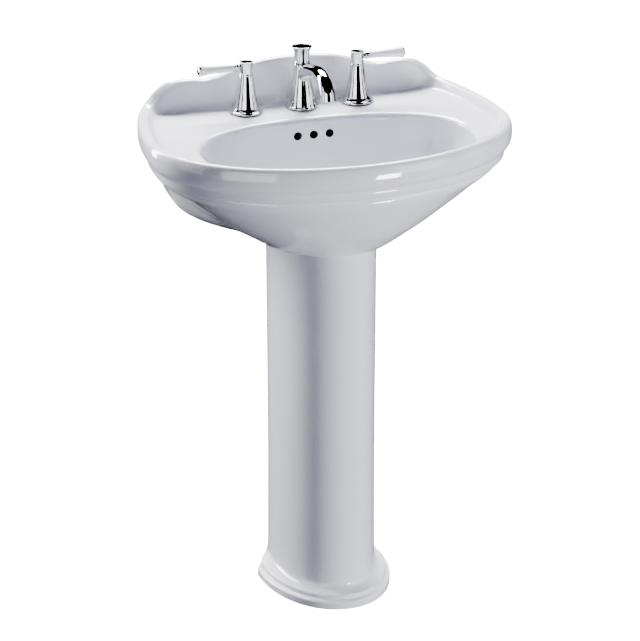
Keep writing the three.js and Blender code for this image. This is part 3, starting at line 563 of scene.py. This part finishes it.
BOWL_CURVE = [(0.05, 1), (0.13, 0.985), (0.32, 0.945), (0.56, 0.86), (0.75, 0.73), (0.88, 0.55),
              (0.96, 0.33), (0.993, 0.13), (1, 0)]


def bowl_rings(grow, top, steps):
    wall = [(share, top - fall * BOWL_DEPTH) for fall, share in BOWL_CURVE]
    return [bowl_ring(grow, max(share, 0.0), z) for share, z in spline(wall, steps)]


widest = body_ring(APRON - 30)
print("body half width under the apron:", round(float(widest[:, 0].max()), 1))

# %% [markdown]
# The rim is one continuous section carried right round: a stepped apron, a rolled lip, and behind
# it the cove where the upstand runs down into the deck. The bowl's edge is softly rounded too.

# %% The basin's outer skin
blend = [(SEAT + 106, 1), (APRON - 18, 0.85), (APRON - 8, 0.5), (APRON, 0)]
rings = [body_ring(z) for z in np.arange(SEAT - 32, SEAT + 106, 4.6)]
rings += [body_ring(z, share=float(hermite(z, blend))) for z in np.linspace(SEAT + 106, APRON - 1.5, 9)]
band = RIM - 44
rim_section = [(23, APRON, 0, 0), (15, APRON + 3, 0, 0), (12.6, APRON + 10, 0, 0), (12, band - 3, 0, 0),
               (8, band + 1, 0, 0), (4, band + 5, 0, 0), (1.2, band + 11, 0, 0), (0, band + 20, 0, 0),
               (0.3, RIM - 14, 0, 0), (1.4, RIM - 8, 0, 0), (3.6, RIM - 3.6, 1, 0), (6.6, RIM - 0.9, 1, 3),
               (10.5, RIM, 1, 9), (16, RIM - 1.2, 1, 14)]
for inset, z, crest, wall_inset in spline(rim_section, 4):
    crest = min(max(crest, 0.0), 1.0)
    rings.append(ring(RIM_Y, rim_radius(max(inset, 0.0), max(wall_inset, 0.0)), z + CREST_HEIGHT * crest))
lip_inner = rings[-1]
bowl_edge = bowl_ring(9, 1, DECK)
gap = np.linalg.norm(bowl_edge - lip_inner, axis=1)
for run in np.linspace(1, 19, 19):
    lift = float(hermite(run, [(0, 1), (4, 0.88), (9, 0.5), (14, 0.14), (19, 0)]))
    cap = float(hermite(run, [(0, 0), (4, 0.2), (9, 0.4), (14, 0.6), (19, 0.8)]))
    share = np.minimum(run / gap, cap)[:, None]
    step = lip_inner * (1 - share) + bowl_edge * share
    step[:, 2] = DECK + (lip_inner[:, 2] - DECK) * lift
    rings.append(step)
cove_foot = rings[-1]
rings += [cove_foot * (1 - t) + bowl_edge * t for t in (0.2, 0.4, 0.6, 0.8)]
edge_section = [(9, DECK), (5.6, DECK - 0.7), (3, DECK - 2.5), (0.9, DECK - 4.8)]
rings += [bowl_ring(grow, 1, z) for grow, z in edge_section]
rings += bowl_rings(0, DECK, 4)
basin = skin("basin_china", rings, smooth=50)
print("basin rings:", len(rings))

# %% [markdown]
# Under the deck a real basin is cast hollow, about as thick as a finger, and open to the wall so the
# pipes can be reached. The hollow is cut away first. The overflow holes lead into a small closed
# channel, which is added before the drain, faucet, overflow and bolt holes are cut. Inside, the
# channel and holes are given painted shade, a near-black colour for the dark in there.

# %% Hollow and holes
def seat_height(y):
    back = min(max((y - COLUMN_Y + COLUMN[1]) / (COLUMN[1] + 15), 0), 1)
    return SEAT - 27 * back ** 2.2


def past_seat(name, offset, far):
    ys = [-DEPTH, *np.linspace(COLUMN_Y - COLUMN[1], COLUMN_Y + 15, 25), DEPTH]
    rings = []
    for y in ys:
        near = seat_height(y) + offset
        rings.append(np.array([(-WIDTH, y, near), (WIDTH, y, near), (WIDTH, y, far), (-WIDTH, y, far)]))
    return tidy_mesh(skin(name, rings))


def column_ring(z, grow):
    half, front, back = (size + grow for size in COLUMN)
    return ring(COLUMN_Y, plan_radius(ANGLES, half, front, back, COLUMN_POWER, 2), z)


def column_prism(name, grow, z0, z1):
    return skin(name, [column_ring(z, grow) for z in (z0, z1)])


def rod(name, r, z0, z1, axis="z", at=(0, 0, 0), sides=64):
    return lathe(name, [(0, z0), (r, z0), (r, z1), (0, z1)], sides, axis=axis, at=at)


floor = SEAT + CHINA - 3
levels = [*(floor + rise for rise in (0, 6, 12, 18, 28, 40, 55, 70)), RAIL]
lower = skin("lower", [body_ring(z - CHINA, CHINA, height=z) for z in levels])
upper = skin("upper", [body_ring(min(z, APRON) - CHINA, CHINA, WALL - CHINA, height=z)
                       for z in (RAIL - 1, APRON - 8, DECK - CHINA - 3)])
shell = skin("shell", [bowl_ring(CHINA, 1, DECK + 20), *bowl_rings(CHINA, DECK - CHINA, 2)][::-1])
hollow = combine(combine(lower, [upper], "UNION"), [shell])
below = SEAT - 47
hollows = [
    block("wall", -WIDTH, WIDTH, WALL, WALL + 3 * DEPTH, 0, 2 * RIM),
    past_seat("seat", 0, 0),
    hollow,
    column_prism("throat", -CHINA, below, SEAT + CHINA + 5),
    block("rear", -77, 77, COLUMN_Y, WALL + 20, below, SEAT + CHINA + 5),
]
bowl_floor = DECK - BOWL_DEPTH
channel = block("channel", -54, 54, 96, 128, DECK - 72, DECK - 14)
holes = [block("channel_space", -47, 47, 109, 121, DECK - 64, DECK - 19),
         rod("drain_hole", 22, bowl_floor - 26, bowl_floor + 5, at=(0, DRAIN_Y, 0))]
for name in ("hot", "spout", "cold"):
    x = centre_mm(name + "_gasket")[0]
    holes.append(rod(name + "_hole", 16, DECK - 21, DECK + 5, at=(x, FAUCET_Y, 0)))
for side in (-1, 1):
    holes.append(rod("bolt_hole", 6, -23, 5, "y", (side * 140, WALL, RIM - 66)))
flare = [(0, -14), (13, -14), (10.5, -1.5), (8.8, 0.6), (7.9, 1.8), (7.4, 4), (7.4, 24), (0, 24)]
for k in (-1, 0, 1):
    holes.append(lathe("overflow", flare, 64, axis="y", at=(k * HOLE_PITCH, BOWL_BACK - 5, OVERFLOW_Z)))
combine(basin, hollows, angle=50)
combine(basin, [channel], "UNION", angle=50)
combine(basin, holes, angle=50)
finish_piece(basin, "basin")
# Painted shade: faces inside the overflow holes and the channel take the second, near-black material.
basin.data.materials.append(channel_shade)
for face in basin.data.polygons:
    x, y, z = np.array(face.center) * 1000
    nearest = min(abs(x - k * HOLE_PITCH) for k in (-1, 0, 1))
    in_hole = math.hypot(nearest, z - OVERFLOW_Z) < 7.7 and 92.5 < y < 112
    in_channel = abs(x) < 47.5 and 108.5 < y < 121.5 and DECK - 64.5 < z < DECK - 18.5
    face.material_index = 1 if in_hole or in_channel else 0

# %% [markdown]
# The pedestal is slip-cast in one hollow piece. Its foot has two soft tiers below a cove, the back
# is left open for the trap and pipes, and its top is cut to the curve of the basin's seat.

# %% Pedestal
def foot_ring(z, share):
    sizes = [column + (foot - column) * share for column, foot in zip(COLUMN, FOOT)]
    shaft_radius = plan_radius(ANGLES, *COLUMN, COLUMN_POWER, 2)
    foot_radius = plan_radius(ANGLES, *sizes, COLUMN_POWER, 2)
    return ring(COLUMN_Y, np.maximum(shaft_radius, foot_radius), z)


moulding = [(0, 0.965), (1, 0.99), (2.5, 1), (11, 1), (13.5, 0.975), (15.2, 0.9), (16, 0.76), (16.8, 0.715),
            (22, 0.69), (24, 0.64), (25, 0.5), (26.4, 0.33), (29, 0.17), (34, 0.04), (42, 0)]
rings = [foot_ring(z, min(max(share, 0.0), 1.0)) for z, share in spline(moulding, 3)]
shaft = [(42, -0.1), (SEAT * 0.4, -1), (SEAT - 40, 0.5), (SEAT + 5, 1)]
rings += [column_ring(z, float(hermite(z, shaft))) for z in np.linspace(60, SEAT + 5, 30)]
pedestal = skin("pedestal_china", rings, smooth=50)
tools = [
    past_seat("above", -0.3, 2 * RIM),
    column_prism("inside", -CHINA, 14, SEAT + 10),
    column_prism("floor_opening", -CHINA - 24, -5, 19),
    block("back", -130, 130, COLUMN_Y + 70, WALL + 50, -5, SEAT + 15),
]
for side in (-1, 1):
    tools.append(rod("screw_hole", 5, -5, 19, at=(side * 65, COLUMN_Y + 10, 0)))
combine(pedestal, tools, angle=50)
finish_piece(pedestal, "pedestal")

# %% [markdown]
# The faucet is cast brass, turned, buffed and chromed. Each handle stands on a flared bell with a
# beaded foot; a hub turns on top of it and carries a white china lever with a chromed cap.

# %% Bells, hubs and levers
def handle_set(name, side):
    x, y, _ = centre_mm(name + "_gasket")
    out = "x" if side > 0 else "-x"
    foot_z = box_mm(name + "_escutcheon")[0][2]
    bell_top = box_mm(name + "_escutcheon")[1][2] - foot_z
    curve = [(22.5, 9), (20, 17), (17.2, 29), (14.8, 44), (13, 58), (12, bell_top)]
    bead = [(24.5, 0), (28.6, 0), (29.3, 1.4), (29, 2.8), (28, 4), (26.9, 4.3), (26.5, 5), (26.3, 6.2)]
    foot = filleted([*bead, (24.4, 7.2)], 0.5)
    outer = [*foot, *spline(curve, 5)]
    inner = [(r - 2.6, z) for r, z in curve][::-1]
    bell = lathe(name + "_bell", [*outer, *inner, (24, 0)], 96, closed=True, at=(x, y, foot_z))
    finish_piece(bell, name + "_escutcheon")
    gasket_section = filleted([(20, 0.3), (27, 0.3), (27, 1.2), (20, 1.2)], 0.3, closed=True)
    gasket = lathe(name + "_foot_ring", gasket_section, 72, closed=True, at=(x, y, foot_z - 1.5))
    finish_piece(gasket, name + "_gasket")

    hub_z = box_mm(name + "_hub")[0][2]
    axis_z = hub_z + 15
    barrel = [(0, 0), (12, 0), (12.3, 0.9), (12.3, 1.9), (11.6, 2.6), (11.4, 4), (11.5, 19.6)]
    crown = [(11.7, 20.4), (12, 21.2), (12, 23.6), (11.4, 24.5), (9.6, 24.7), (9.2, 24.3), (0, 24.2)]
    hub = lathe(name + "_cap", filleted([*barrel, *crown], 0.35), 96, at=(x, y, hub_z))
    socket = rod("socket", 3.3, 5, 17, out, (x, y, axis_z))
    stem = rod("stem_socket", 4.3, -1, 12, at=(x, y, hub_z))
    combine(hub, [socket, stem])
    finish_piece(hub, name + "_hub")

    peg = [(0, 5.5), (3, 5.5), (3, 12.3), (5.4, 12.3)]
    bulge = [(5.4, 14.3), (6.6, 14.6), (7.3, 15.6), (7.3, 18.2), (6.6, 19.2), (5.9, 19.6)]
    collar = filleted([*peg, *bulge, (5.9, 20.6), (6.4, 21), (6.4, 22), (0, 22)], 0.3)
    finish_piece(lathe(name + "_neck", collar, 72, axis=out, at=(x, y, axis_z)), name + "_lever_collar")
    end = 83.0
    flank = spline([(6.25, 26), (6.6, 40), (7.4, 58), (8.8, end - 8), (9.7, end - 3.5), (10, end - 1.6)], 5)
    sleeve = [(0, 22.3), (5.6, 22.3), (6, 22.5), (6.2, 23), *flank, (9.8, end - 0.4), (9.3, end), (0, end)]
    finish_piece(lathe(name + "_grip", sleeve, 72, axis=out, at=(x, y, axis_z)), name + "_lever")
    edge = [(0, end + 0.3), (9.6, end + 0.3), (10.1, 83.9), (10.1, 85), (9.5, 86), (8.4, 87.2)]
    cap = filleted([*edge, (6, 87.9), (3, 88), (0, 88)], 0.4)
    finish_piece(lathe(name + "_tip", cap, 72, axis=out, at=(x, y, axis_z)), name + "_lever_cap")


handle_set("hot", -1)
handle_set("cold", 1)

# %% [markdown]
# The spout is a tapered trunk with a hollow arch growing out of it. The arch swells to the outlet,
# where a small aerator sits, and the lift knob of the pop-up waste stands on the trunk like a finial.

# %% Spout, aerator and lift knob
def sweep(name, path, radii, sides):
    path = [np.array(p, float) for p in path]
    rings = []
    for k, centre in enumerate(path):
        ahead = path[min(k + 1, len(path) - 1)] - path[max(k - 1, 0)]
        ahead /= np.linalg.norm(ahead)
        side = np.cross(ahead, (0, 0, 1.0)) if abs(ahead[2]) < 0.999 else np.array((1.0, 0, 0))
        side /= np.linalg.norm(side)
        up = np.cross(side, ahead)
        turn = np.linspace(0, 2 * math.pi, sides, endpoint=False)[:, None]
        rings.append(centre + radii[k] * (np.cos(turn) * side + np.sin(turn) * up))
    return tidy_mesh(skin(name, rings))


REACH = 145
OUTLET_TILT = -0.22
spout_z = box_mm("spout_body")[0][2]
bead = [(0, 0), (27.6, 0), (28.4, 1.4), (28.1, 2.8), (27, 4), (25.9, 4.3), (25.5, 5), (25.3, 6)]
foot = filleted(bead, 0.5)
flank = spline([(24.2, 8), (22.6, 17), (19.8, 33), (17, 48), (14.6, 63), (13.7, 73)], 5)
top = filleted([(13.7, 74), (14.9, 75), (15.2, 76), (15, 78), (14, 79.6), (13, 80), (0, 80)], 0.4)
trunk = lathe("spout_chrome", [*foot, *flank, *top], 96, at=(0, FAUCET_Y, spout_z))
arch = [(6, 54, 9), (25, 70, 12), (57, 81, 11.5), (97, 88, 11.5), (127, 82, 12), (141, 68, 13),
        (REACH, 53, 14.8)]
fine = spline(arch, 8)
path = [(0, FAUCET_Y - run, spout_z + z) for run, z, _ in fine]
spout_arch = sweep("arch", path, [r for _, _, r in fine], 64)
combine(trunk, [spout_arch], "UNION")
tip_y, tip_z = FAUCET_Y - REACH, spout_z + 53
outlet = rod("outlet", 11, -3, 10)
tip(outlet, OUTLET_TILT, (0, tip_y, tip_z))
rod_bore = rod("rod_bore", 3.1, -1, 81, at=(0, FAUCET_Y, spout_z))
shank_bore = rod("shank_bore", 10.3, -1, 14, at=(0, FAUCET_Y, spout_z))
combine(trunk, [outlet, rod_bore, shank_bore])
finish_piece(trunk, "spout_body")


def ring_section(inner, outer, z0, z1, soft=0.3):
    return filleted([(inner, z0), (outer, z0), (outer, z1), (inner, z1)], soft, closed=True)


foot_ring_at = (0, FAUCET_Y, spout_z - 1.5)
gasket = lathe("spout_foot_ring", ring_section(17, 26, 0.3, 1.2), 72, closed=True, at=foot_ring_at)
finish_piece(gasket, "spout_gasket")
nozzle = filleted([(10.7, 0), (10.7, 9), (7, 9), (7, 0.6), (7.6, 0)], 0.4, closed=True)
aerator = lathe("aerator_ring", nozzle, 72, closed=True)
tip(aerator, OUTLET_TILT, (0, tip_y, tip_z))
finish_piece(aerator, "aerator")
knob_z = box_mm("lift_knob")[0][2]
knob_curve = spline([(12.6, 4.4), (12.9, 10), (14.1, 19), (16.2, 26)], 5)
knob = [*filleted([(0, 0), (12.8, 0), (13.6, 0.8), (13.6, 1.8), (12.7, 3)], 0.4), *knob_curve,
        *filleted([(17.4, 27.6), (18, 28.2), (18, 29.2), (17, 30), (15.6, 29.9), (15, 29.5), (0, 29.4)], 0.3)]
finial = lathe("lift_finial", knob, 96, at=(0, FAUCET_Y, knob_z))
combine(finial, [rod("rod_socket", 2.8, -1, 20, at=(0, FAUCET_Y, knob_z))])
finish_piece(finial, "lift_knob")
low, high = box_mm("lift_rod")
lift = lathe("lift_wire", filleted([(0, low[2]), (2.5, low[2]), (2.5, high[2]), (0, high[2])], 0.5), 48,
             at=(0, FAUCET_Y, 0))
finish_piece(lift, "lift_rod")

# %% [markdown]
# Under the deck every stud is cut with a thread. A row of fine ridges stands for it: at this size the
# eye reads the spacing of the ridges, not their slope. Nuts are hexagons with turned chamfers.

# %% Threads and nuts
def threaded(r, z0, z1, pitch=1.6, depth=0.55):
    out = [(r - depth, z0)]
    z = z0 + pitch * 0.25
    while z + pitch < z1:
        out += [(r, z + pitch * 0.35), (r, z + pitch * 0.55), (r - depth, z + pitch)]
        z += pitch
    return [*out, (r - depth, z1)]


def hexagon_nut(name, across, bore, z0, z1, axis="z", at=(0, 0, 0)):
    corner = across / math.sqrt(3)
    turn = np.arange(6) * math.pi / 3 + math.pi / 6
    x, y = corner * np.cos(turn), corner * np.sin(turn)
    nut = skin(name, [np.stack([x, y, np.full(6, z)], axis=1) for z in (z0, z1)])
    chamfer = (z1 - z0) * 0.16
    shape = [(0, z0), (across * 0.49, z0), (corner * 1.01, z0 + chamfer), (corner * 1.01, z1 - chamfer),
             (across * 0.49, z1), (0, z1)]
    combine(nut, [lathe("round_off", shape, 72)], "INTERSECT")
    combine(nut, [rod("bore", bore, z0 - 1, z1 + 1)])
    lay(nut, axis, at)
    return nut


def washer(name, inner, outer, z0, z1, axis="z", at=(0, 0, 0)):
    return lathe(name, ring_section(inner, outer, z0, z1, 0.4), 72, closed=True, axis=axis, at=at)


for name in ("hot", "spout", "cold"):
    x = centre_mm(name + "_gasket")[0]
    low, high = box_mm(name + "_washer")
    flat = washer(name + "_flat_ring", 10.3, 22, low[2], high[2], at=(x, FAUCET_Y, 0))
    finish_piece(flat, name + "_washer")
    low, high = box_mm(name + "_locknut")
    nut = hexagon_nut(name + "_hexagon", 32, 10.3, low[2], high[2], at=(x, FAUCET_Y, 0))
    finish_piece(nut, name + "_locknut")
for name in ("left", "right"):
    x, _, z = centre_mm(name + "_wall_bolt")
    low, high = box_mm(name + "_wall_bolt")
    stud = [(0, -high[1] + low[1]), *threaded(4, low[1] - high[1], 0, 1.25, 0.4), (0, 0)]
    finish_piece(lathe(name + "_stud", stud, 40, axis="y", at=(x, high[1], z)), name + "_wall_bolt")
    low, high = box_mm(name + "_wall_washer")
    flat = washer(name + "_bolt_ring", 4.3, 14, 0, high[1] - low[1], "y", (x, low[1], z))
    finish_piece(flat, name + "_wall_washer")
    low, high = box_mm(name + "_wall_nut")
    nut = hexagon_nut(name + "_bolt_nut", 13, 4.3, 0, high[1] - low[1], "y", (x, low[1], z))
    finish_piece(nut, name + "_wall_nut")

# %% [markdown]
# The valve below each handle is a brass shank with a side outlet; soft copper tubes carry the water
# across to a tee under the spout. Tubes are swept round and the fittings turned.

# %% Valves, tee and tubes
for name, side in (("hot", -1), ("cold", 1)):
    x = centre_mm(name + "_gasket")[0]
    at = (x, FAUCET_Y, DECK)
    shape = [(5, -74), (9.2, -74), (9.6, -73.4), *threaded(10, -72.5, -64), (9.6, -63), (9.6, -46),
             *threaded(10, -45, 2), (10, 3), (10, 6), (12.6, 6), (13, 6.5), (13, 27.4), (12.4, 28), (7.4, 28),
             (7, 28.4), (7, 32), (4.6, 32), (4.6, 8), (5, 8)]
    valve = tidy_mesh(lathe(name + "_shank", shape, 72, closed=True, at=at))
    inward = "-x" if side > 0 else "x"
    port = rod("port", 7.5, 0, 24, inward, (x, FAUCET_Y, DECK - 54))
    combine(port, [rod("core", 7, -74, 10, at=at)])
    combine(valve, [port], "UNION")
    combine(valve, [rod("port_bore", 5.1, 12, 30, inward, (x, FAUCET_Y, DECK - 54))])
    finish_piece(valve, name + "_valve")
    low, high = box_mm(name + "_stem")
    stem = filleted([(0, low[2]), (4, low[2]), (4, high[2]), (0, high[2])], 0.6)
    finish_piece(lathe(name + "_spindle", stem, 48, at=(x, FAUCET_Y, 0)), name + "_stem")
    run = [(88.6, -54), (74.6, -54), (54.6, -58), (34, -62), (19, -62)]
    way = [(side * a, FAUCET_Y, DECK + b) for a, b in spline(run, 8)]
    finish_piece(sweep(name + "_tube", way, [4.8] * len(way), 32), name + "_crossover_tube")

shank_low, shank_high = box_mm("spout_shank")
shape = [(3.1, shank_low[2]), (9.4, shank_low[2]), *threaded(10, shank_low[2] + 0.8, DECK - 8),
         (10, DECK - 7), (10, shank_high[2] - 0.5), (9.5, shank_high[2]), (3.1, shank_high[2])]
shank = tidy_mesh(lathe("spout_stud", shape, 72, closed=True, at=(0, FAUCET_Y, 0)))
finish_piece(shank, "spout_shank")
tee_z = DECK - 62
body = ring_section(10.3, 15, -12, 12, 1.0)
tee = tidy_mesh(lathe("tee_casting", body, 72, closed=True, at=(0, FAUCET_Y, tee_z)))
ends = []
bores = [rod("tee_bore", 10.3, -14, 14, at=(0, FAUCET_Y, tee_z))]
for axis in ("x", "-x"):
    waist = filleted([(8, 14), (7.2, 15), (7.2, 24), (8, 25), (8, 29.4), (7.4, 30)], 0.4)
    port = [(0, 12), (8, 12), *waist, (0, 30)]
    ends.append(lathe("port", port, 64, axis=axis, at=(0, FAUCET_Y, tee_z)))
    bores.append(rod("port_bore", 5.1, 18, 35, axis, (0, FAUCET_Y, tee_z)))
combine(tee, ends, "UNION")
combine(tee, bores)
finish_piece(tee, "spout_tee")

# %% [markdown]
# The pop-up waste: pulling the knob up lifts a strap, the strap tips a pivot rod, and the rod lets
# the stopper down on its seal. Chrome is kept for what is seen; nuts and washers are plain metal.

# %% Waste
floor_at = (0, DRAIN_Y, bowl_floor)
PIVOT_DROP = 62
dish = [(18.2, 0.3), (31, 0.3), (31.2, 0.9), (30.4, 1.6), (28, 2.6), (24, 2.3), (20, 1.3), (18.2, 0.9)]
collar = filleted(dish, 0.3, closed=True)
finish_piece(lathe("drain_collar", collar, 96, closed=True, at=floor_at), "drain_flange")
tube = ring_section(14, 16, -104, -0.3, 0.4)
drain = tidy_mesh(lathe("drain_tube", tube, 72, closed=True, at=floor_at))
nozzle_at = (0, DRAIN_Y, bowl_floor - PIVOT_DROP)
nozzle = rod("nozzle", 10, 2, 34, "y", nozzle_at)
combine(drain, [nozzle], "UNION")
combine(drain, [rod("bore", 14, -107, 5, at=floor_at), rod("ball_bore", 6.1, 6, 39, "y", nozzle_at),
                rod("tail_socket", 15.5, -112, -92, at=floor_at)])
finish_piece(drain, "drain_body")
for node, inner, outer in (("drain_gasket", 16.3, 30), ("drain_washer", 16.3, 29)):
    low, high = box_mm(node)
    made = washer(node + "_ring", inner, outer, low[2], high[2], at=(0, DRAIN_Y, 0))
    finish_piece(made, node)
low, high = box_mm("drain_locknut")
finish_piece(hexagon_nut("drain_hexagon", 48, 16.3, low[2], high[2], at=(0, DRAIN_Y, 0)), "drain_locknut")
low, high = box_mm("tailpiece")
tail = [(13.4, low[2]), (15.2, low[2]), (15.2, high[2]), (13.4, high[2])]
tail = lathe("tail_tube", filleted(tail, 0.5, closed=True), 72, closed=True, at=(0, DRAIN_Y, 0))
finish_piece(tail, "tailpiece")
crown = [(0, 5), (15, 5), (15, 7.2), *filleted([(16.4, 7.3), (18.6, 8.4), (19, 9.4), (18.4, 10.6)], 0.4),
         *spline([(17, 11.2), (10, 12.3), (4, 12.75)], 4), (0, 12.8)]
plug = lathe("stopper_crown", crown, 96, at=floor_at)
combine(plug, [rod("plug_stem", 3, -55, 7, at=floor_at),
               block("eye", -5, 5, DRAIN_Y - 4, DRAIN_Y + 4, bowl_floor - 71, bowl_floor - 53, 0.8)], "UNION")
combine(plug, [block("window", -2.6, 2.6, DRAIN_Y - 6, DRAIN_Y + 6, bowl_floor - 67, bowl_floor - 57)])
finish_piece(plug, "stopper")
low, high = box_mm("stopper_seal")
seal = washer("stopper_ring", 15.3, 17.4, low[2], high[2], at=(0, DRAIN_Y, 0))
finish_piece(seal, "stopper_seal")
gland = [(10.3, 22), (12.6, 22), (13, 22.5), (13, 37.3), (12.4, 38), (5, 38), (5, 34.3), (10.3, 34.3)]
gland = tidy_mesh(lathe("pivot_gland", gland, 72, closed=True, axis="y", at=nozzle_at))
grooves = []
for k in range(18):
    a = k * math.pi / 9
    at = (13.2 * math.cos(a), DRAIN_Y, bowl_floor - PIVOT_DROP + 13.2 * math.sin(a))
    grooves.append(rod("grip", 0.7, 24, 36, "y", at, 12))
combine(gland, grooves)
finish_piece(gland, "pivot_nut")

# %% [markdown]
# Small stamped parts keep the frame's own shape, and a fine bevel gives their edges a highlight.

# %% Small parts
for node in ("lift_strap", "spring_clip", "strap_screw", "pivot_rod", "left_floor_screw", "right_floor_screw",
             "left_floor_washer", "right_floor_washer"):
    edge = frame["nodes"][node].modifiers.new("edge", "BEVEL")
    edge.width = 0.0002
    edge.segments = 2
    edge.limit_method = "ANGLE"
    edge.angle_limit = math.radians(35)
    frame["nodes"][node].data.shade_smooth()
print("bevelled small parts")

# %% [markdown]
# The light is a plain studio: a big softbox overhead and behind, one low in front on the right, and a
# tall narrow one behind on the left. Dark and pale cards, which only mirrors see, give the chrome
# something to reflect, and a small bright window puts one sharp highlight on the rolled lip.

# %% Camera, light and stage
camera_data = bpy.data.cameras.new("camera")
camera_data.lens = 188.25
camera_data.sensor_width = 36
camera_data.clip_end = 50
camera = bpy.data.objects.new("camera", camera_data)
camera.location = (-1.702, -5.181, 2.664)
looking = Vector((0.2873, 0.8843, -0.3681))
camera.rotation_euler = looking.to_track_quat("-Z", "Y").to_euler()
bpy.context.scene.collection.objects.link(camera)
bpy.context.scene.camera = camera


def area_light(name, place, target, width, height, power):
    data = bpy.data.lights.new(name, "AREA")
    data.shape = "RECTANGLE"
    data.size = width
    data.size_y = height
    data.energy = power
    made = bpy.data.objects.new(name, data)
    made.location = place
    made.rotation_euler = (Vector(target) - Vector(place)).to_track_quat("-Z", "Y").to_euler()
    bpy.context.scene.collection.objects.link(made)
    return made


area_light("overhead", (0.3, 1.5, 2.6), (0, 0, 0.85), 1.6, 0.9, 330)
low_right = area_light("right", (1.7, -2.3, 0.3), (0, 0, 0.5), 1.3, 1.0, 128)
low_right.visible_glossy = False
area_light("left_rim", (-1.55, 1.6, 1.3), (0, 0, 0.6), 0.5, 2.0, 175)
world = bpy.data.worlds.new("studio")
world.use_nodes = True
world.node_tree.nodes["Background"].inputs["Color"].default_value = (0.72, 0.74, 1.0, 1)
world.node_tree.nodes["Background"].inputs["Strength"].default_value = 0.24
bpy.context.scene.world = world


def sheet(name, middle, facing, width, height, colour, strength, seen):
    turn = (Vector(facing) - Vector(middle)).to_track_quat("Z", "Y")
    corners = [(-width / 2, -height / 2, 0), (width / 2, -height / 2, 0), (width / 2, height / 2, 0),
               (-width / 2, height / 2, 0)]
    mesh = bpy.data.meshes.new(name)
    mesh.from_pydata([turn @ Vector(corner) + Vector(middle) for corner in corners], [], [(0, 1, 2, 3)])
    made = bpy.data.objects.new(name, mesh)
    bpy.context.scene.collection.objects.link(made)
    paint = bpy.data.materials.new(name)
    paint.use_nodes = True
    shader = paint.node_tree.nodes["Principled BSDF"]
    shader.inputs["Base Color"].default_value = (*colour, 1)
    shader.inputs["Specular IOR Level"].default_value = 0
    shader.inputs["Emission Color"].default_value = (*colour, 1)
    shader.inputs["Emission Strength"].default_value = strength
    mesh.materials.append(paint)
    made.visible_camera = seen
    made.visible_glossy = not seen
    made.visible_diffuse = False
    made.visible_shadow = False
    return made


WHITE, BLACK = (1, 1, 1), (0, 0, 0)
sheet("floor", (0, 0, -0.001), (0, 0, 1), 12, 12, WHITE, 24, True)
sheet("backdrop", (0, 6, 2), (0, 0, 2), 14, 8, WHITE, 24, True)
heart = Vector((0, 0.1, 0.9))


def card(name, turn, lift, distance, width, height, tone):
    a, e = math.radians(turn), math.radians(lift)
    place = heart + distance * Vector((math.cos(a) * math.cos(e), math.sin(a) * math.cos(e), math.sin(e)))
    return sheet(name, place, heart, width, height, WHITE if tone else BLACK, tone, False)


for k in range(12):
    card(f"dark_{k}", k * 30, 0, 4.5, 2.6, 9, 0)
card("dark_top", 90, 89, 4.5, 9, 9, 0)
card("left_far", 148, 8, 3.0, 1.4, 2.2, 0.5)
card("left", -172, 8, 3.0, 1.3, 2.4, 1.1)
card("front_left", -130, 6, 3.0, 1.7, 2.6, 3.5)
card("front_right", -52, 6, 3.0, 1.2, 2.4, 3.0)
card("right_far", -18, 6, 3.0, 1.0, 2.2, 0.6)
sheet("window", (0.78, -1.76, 0.28), (0.03, -0.22, 0.84), 0.34, 0.3, WHITE, 85, False)
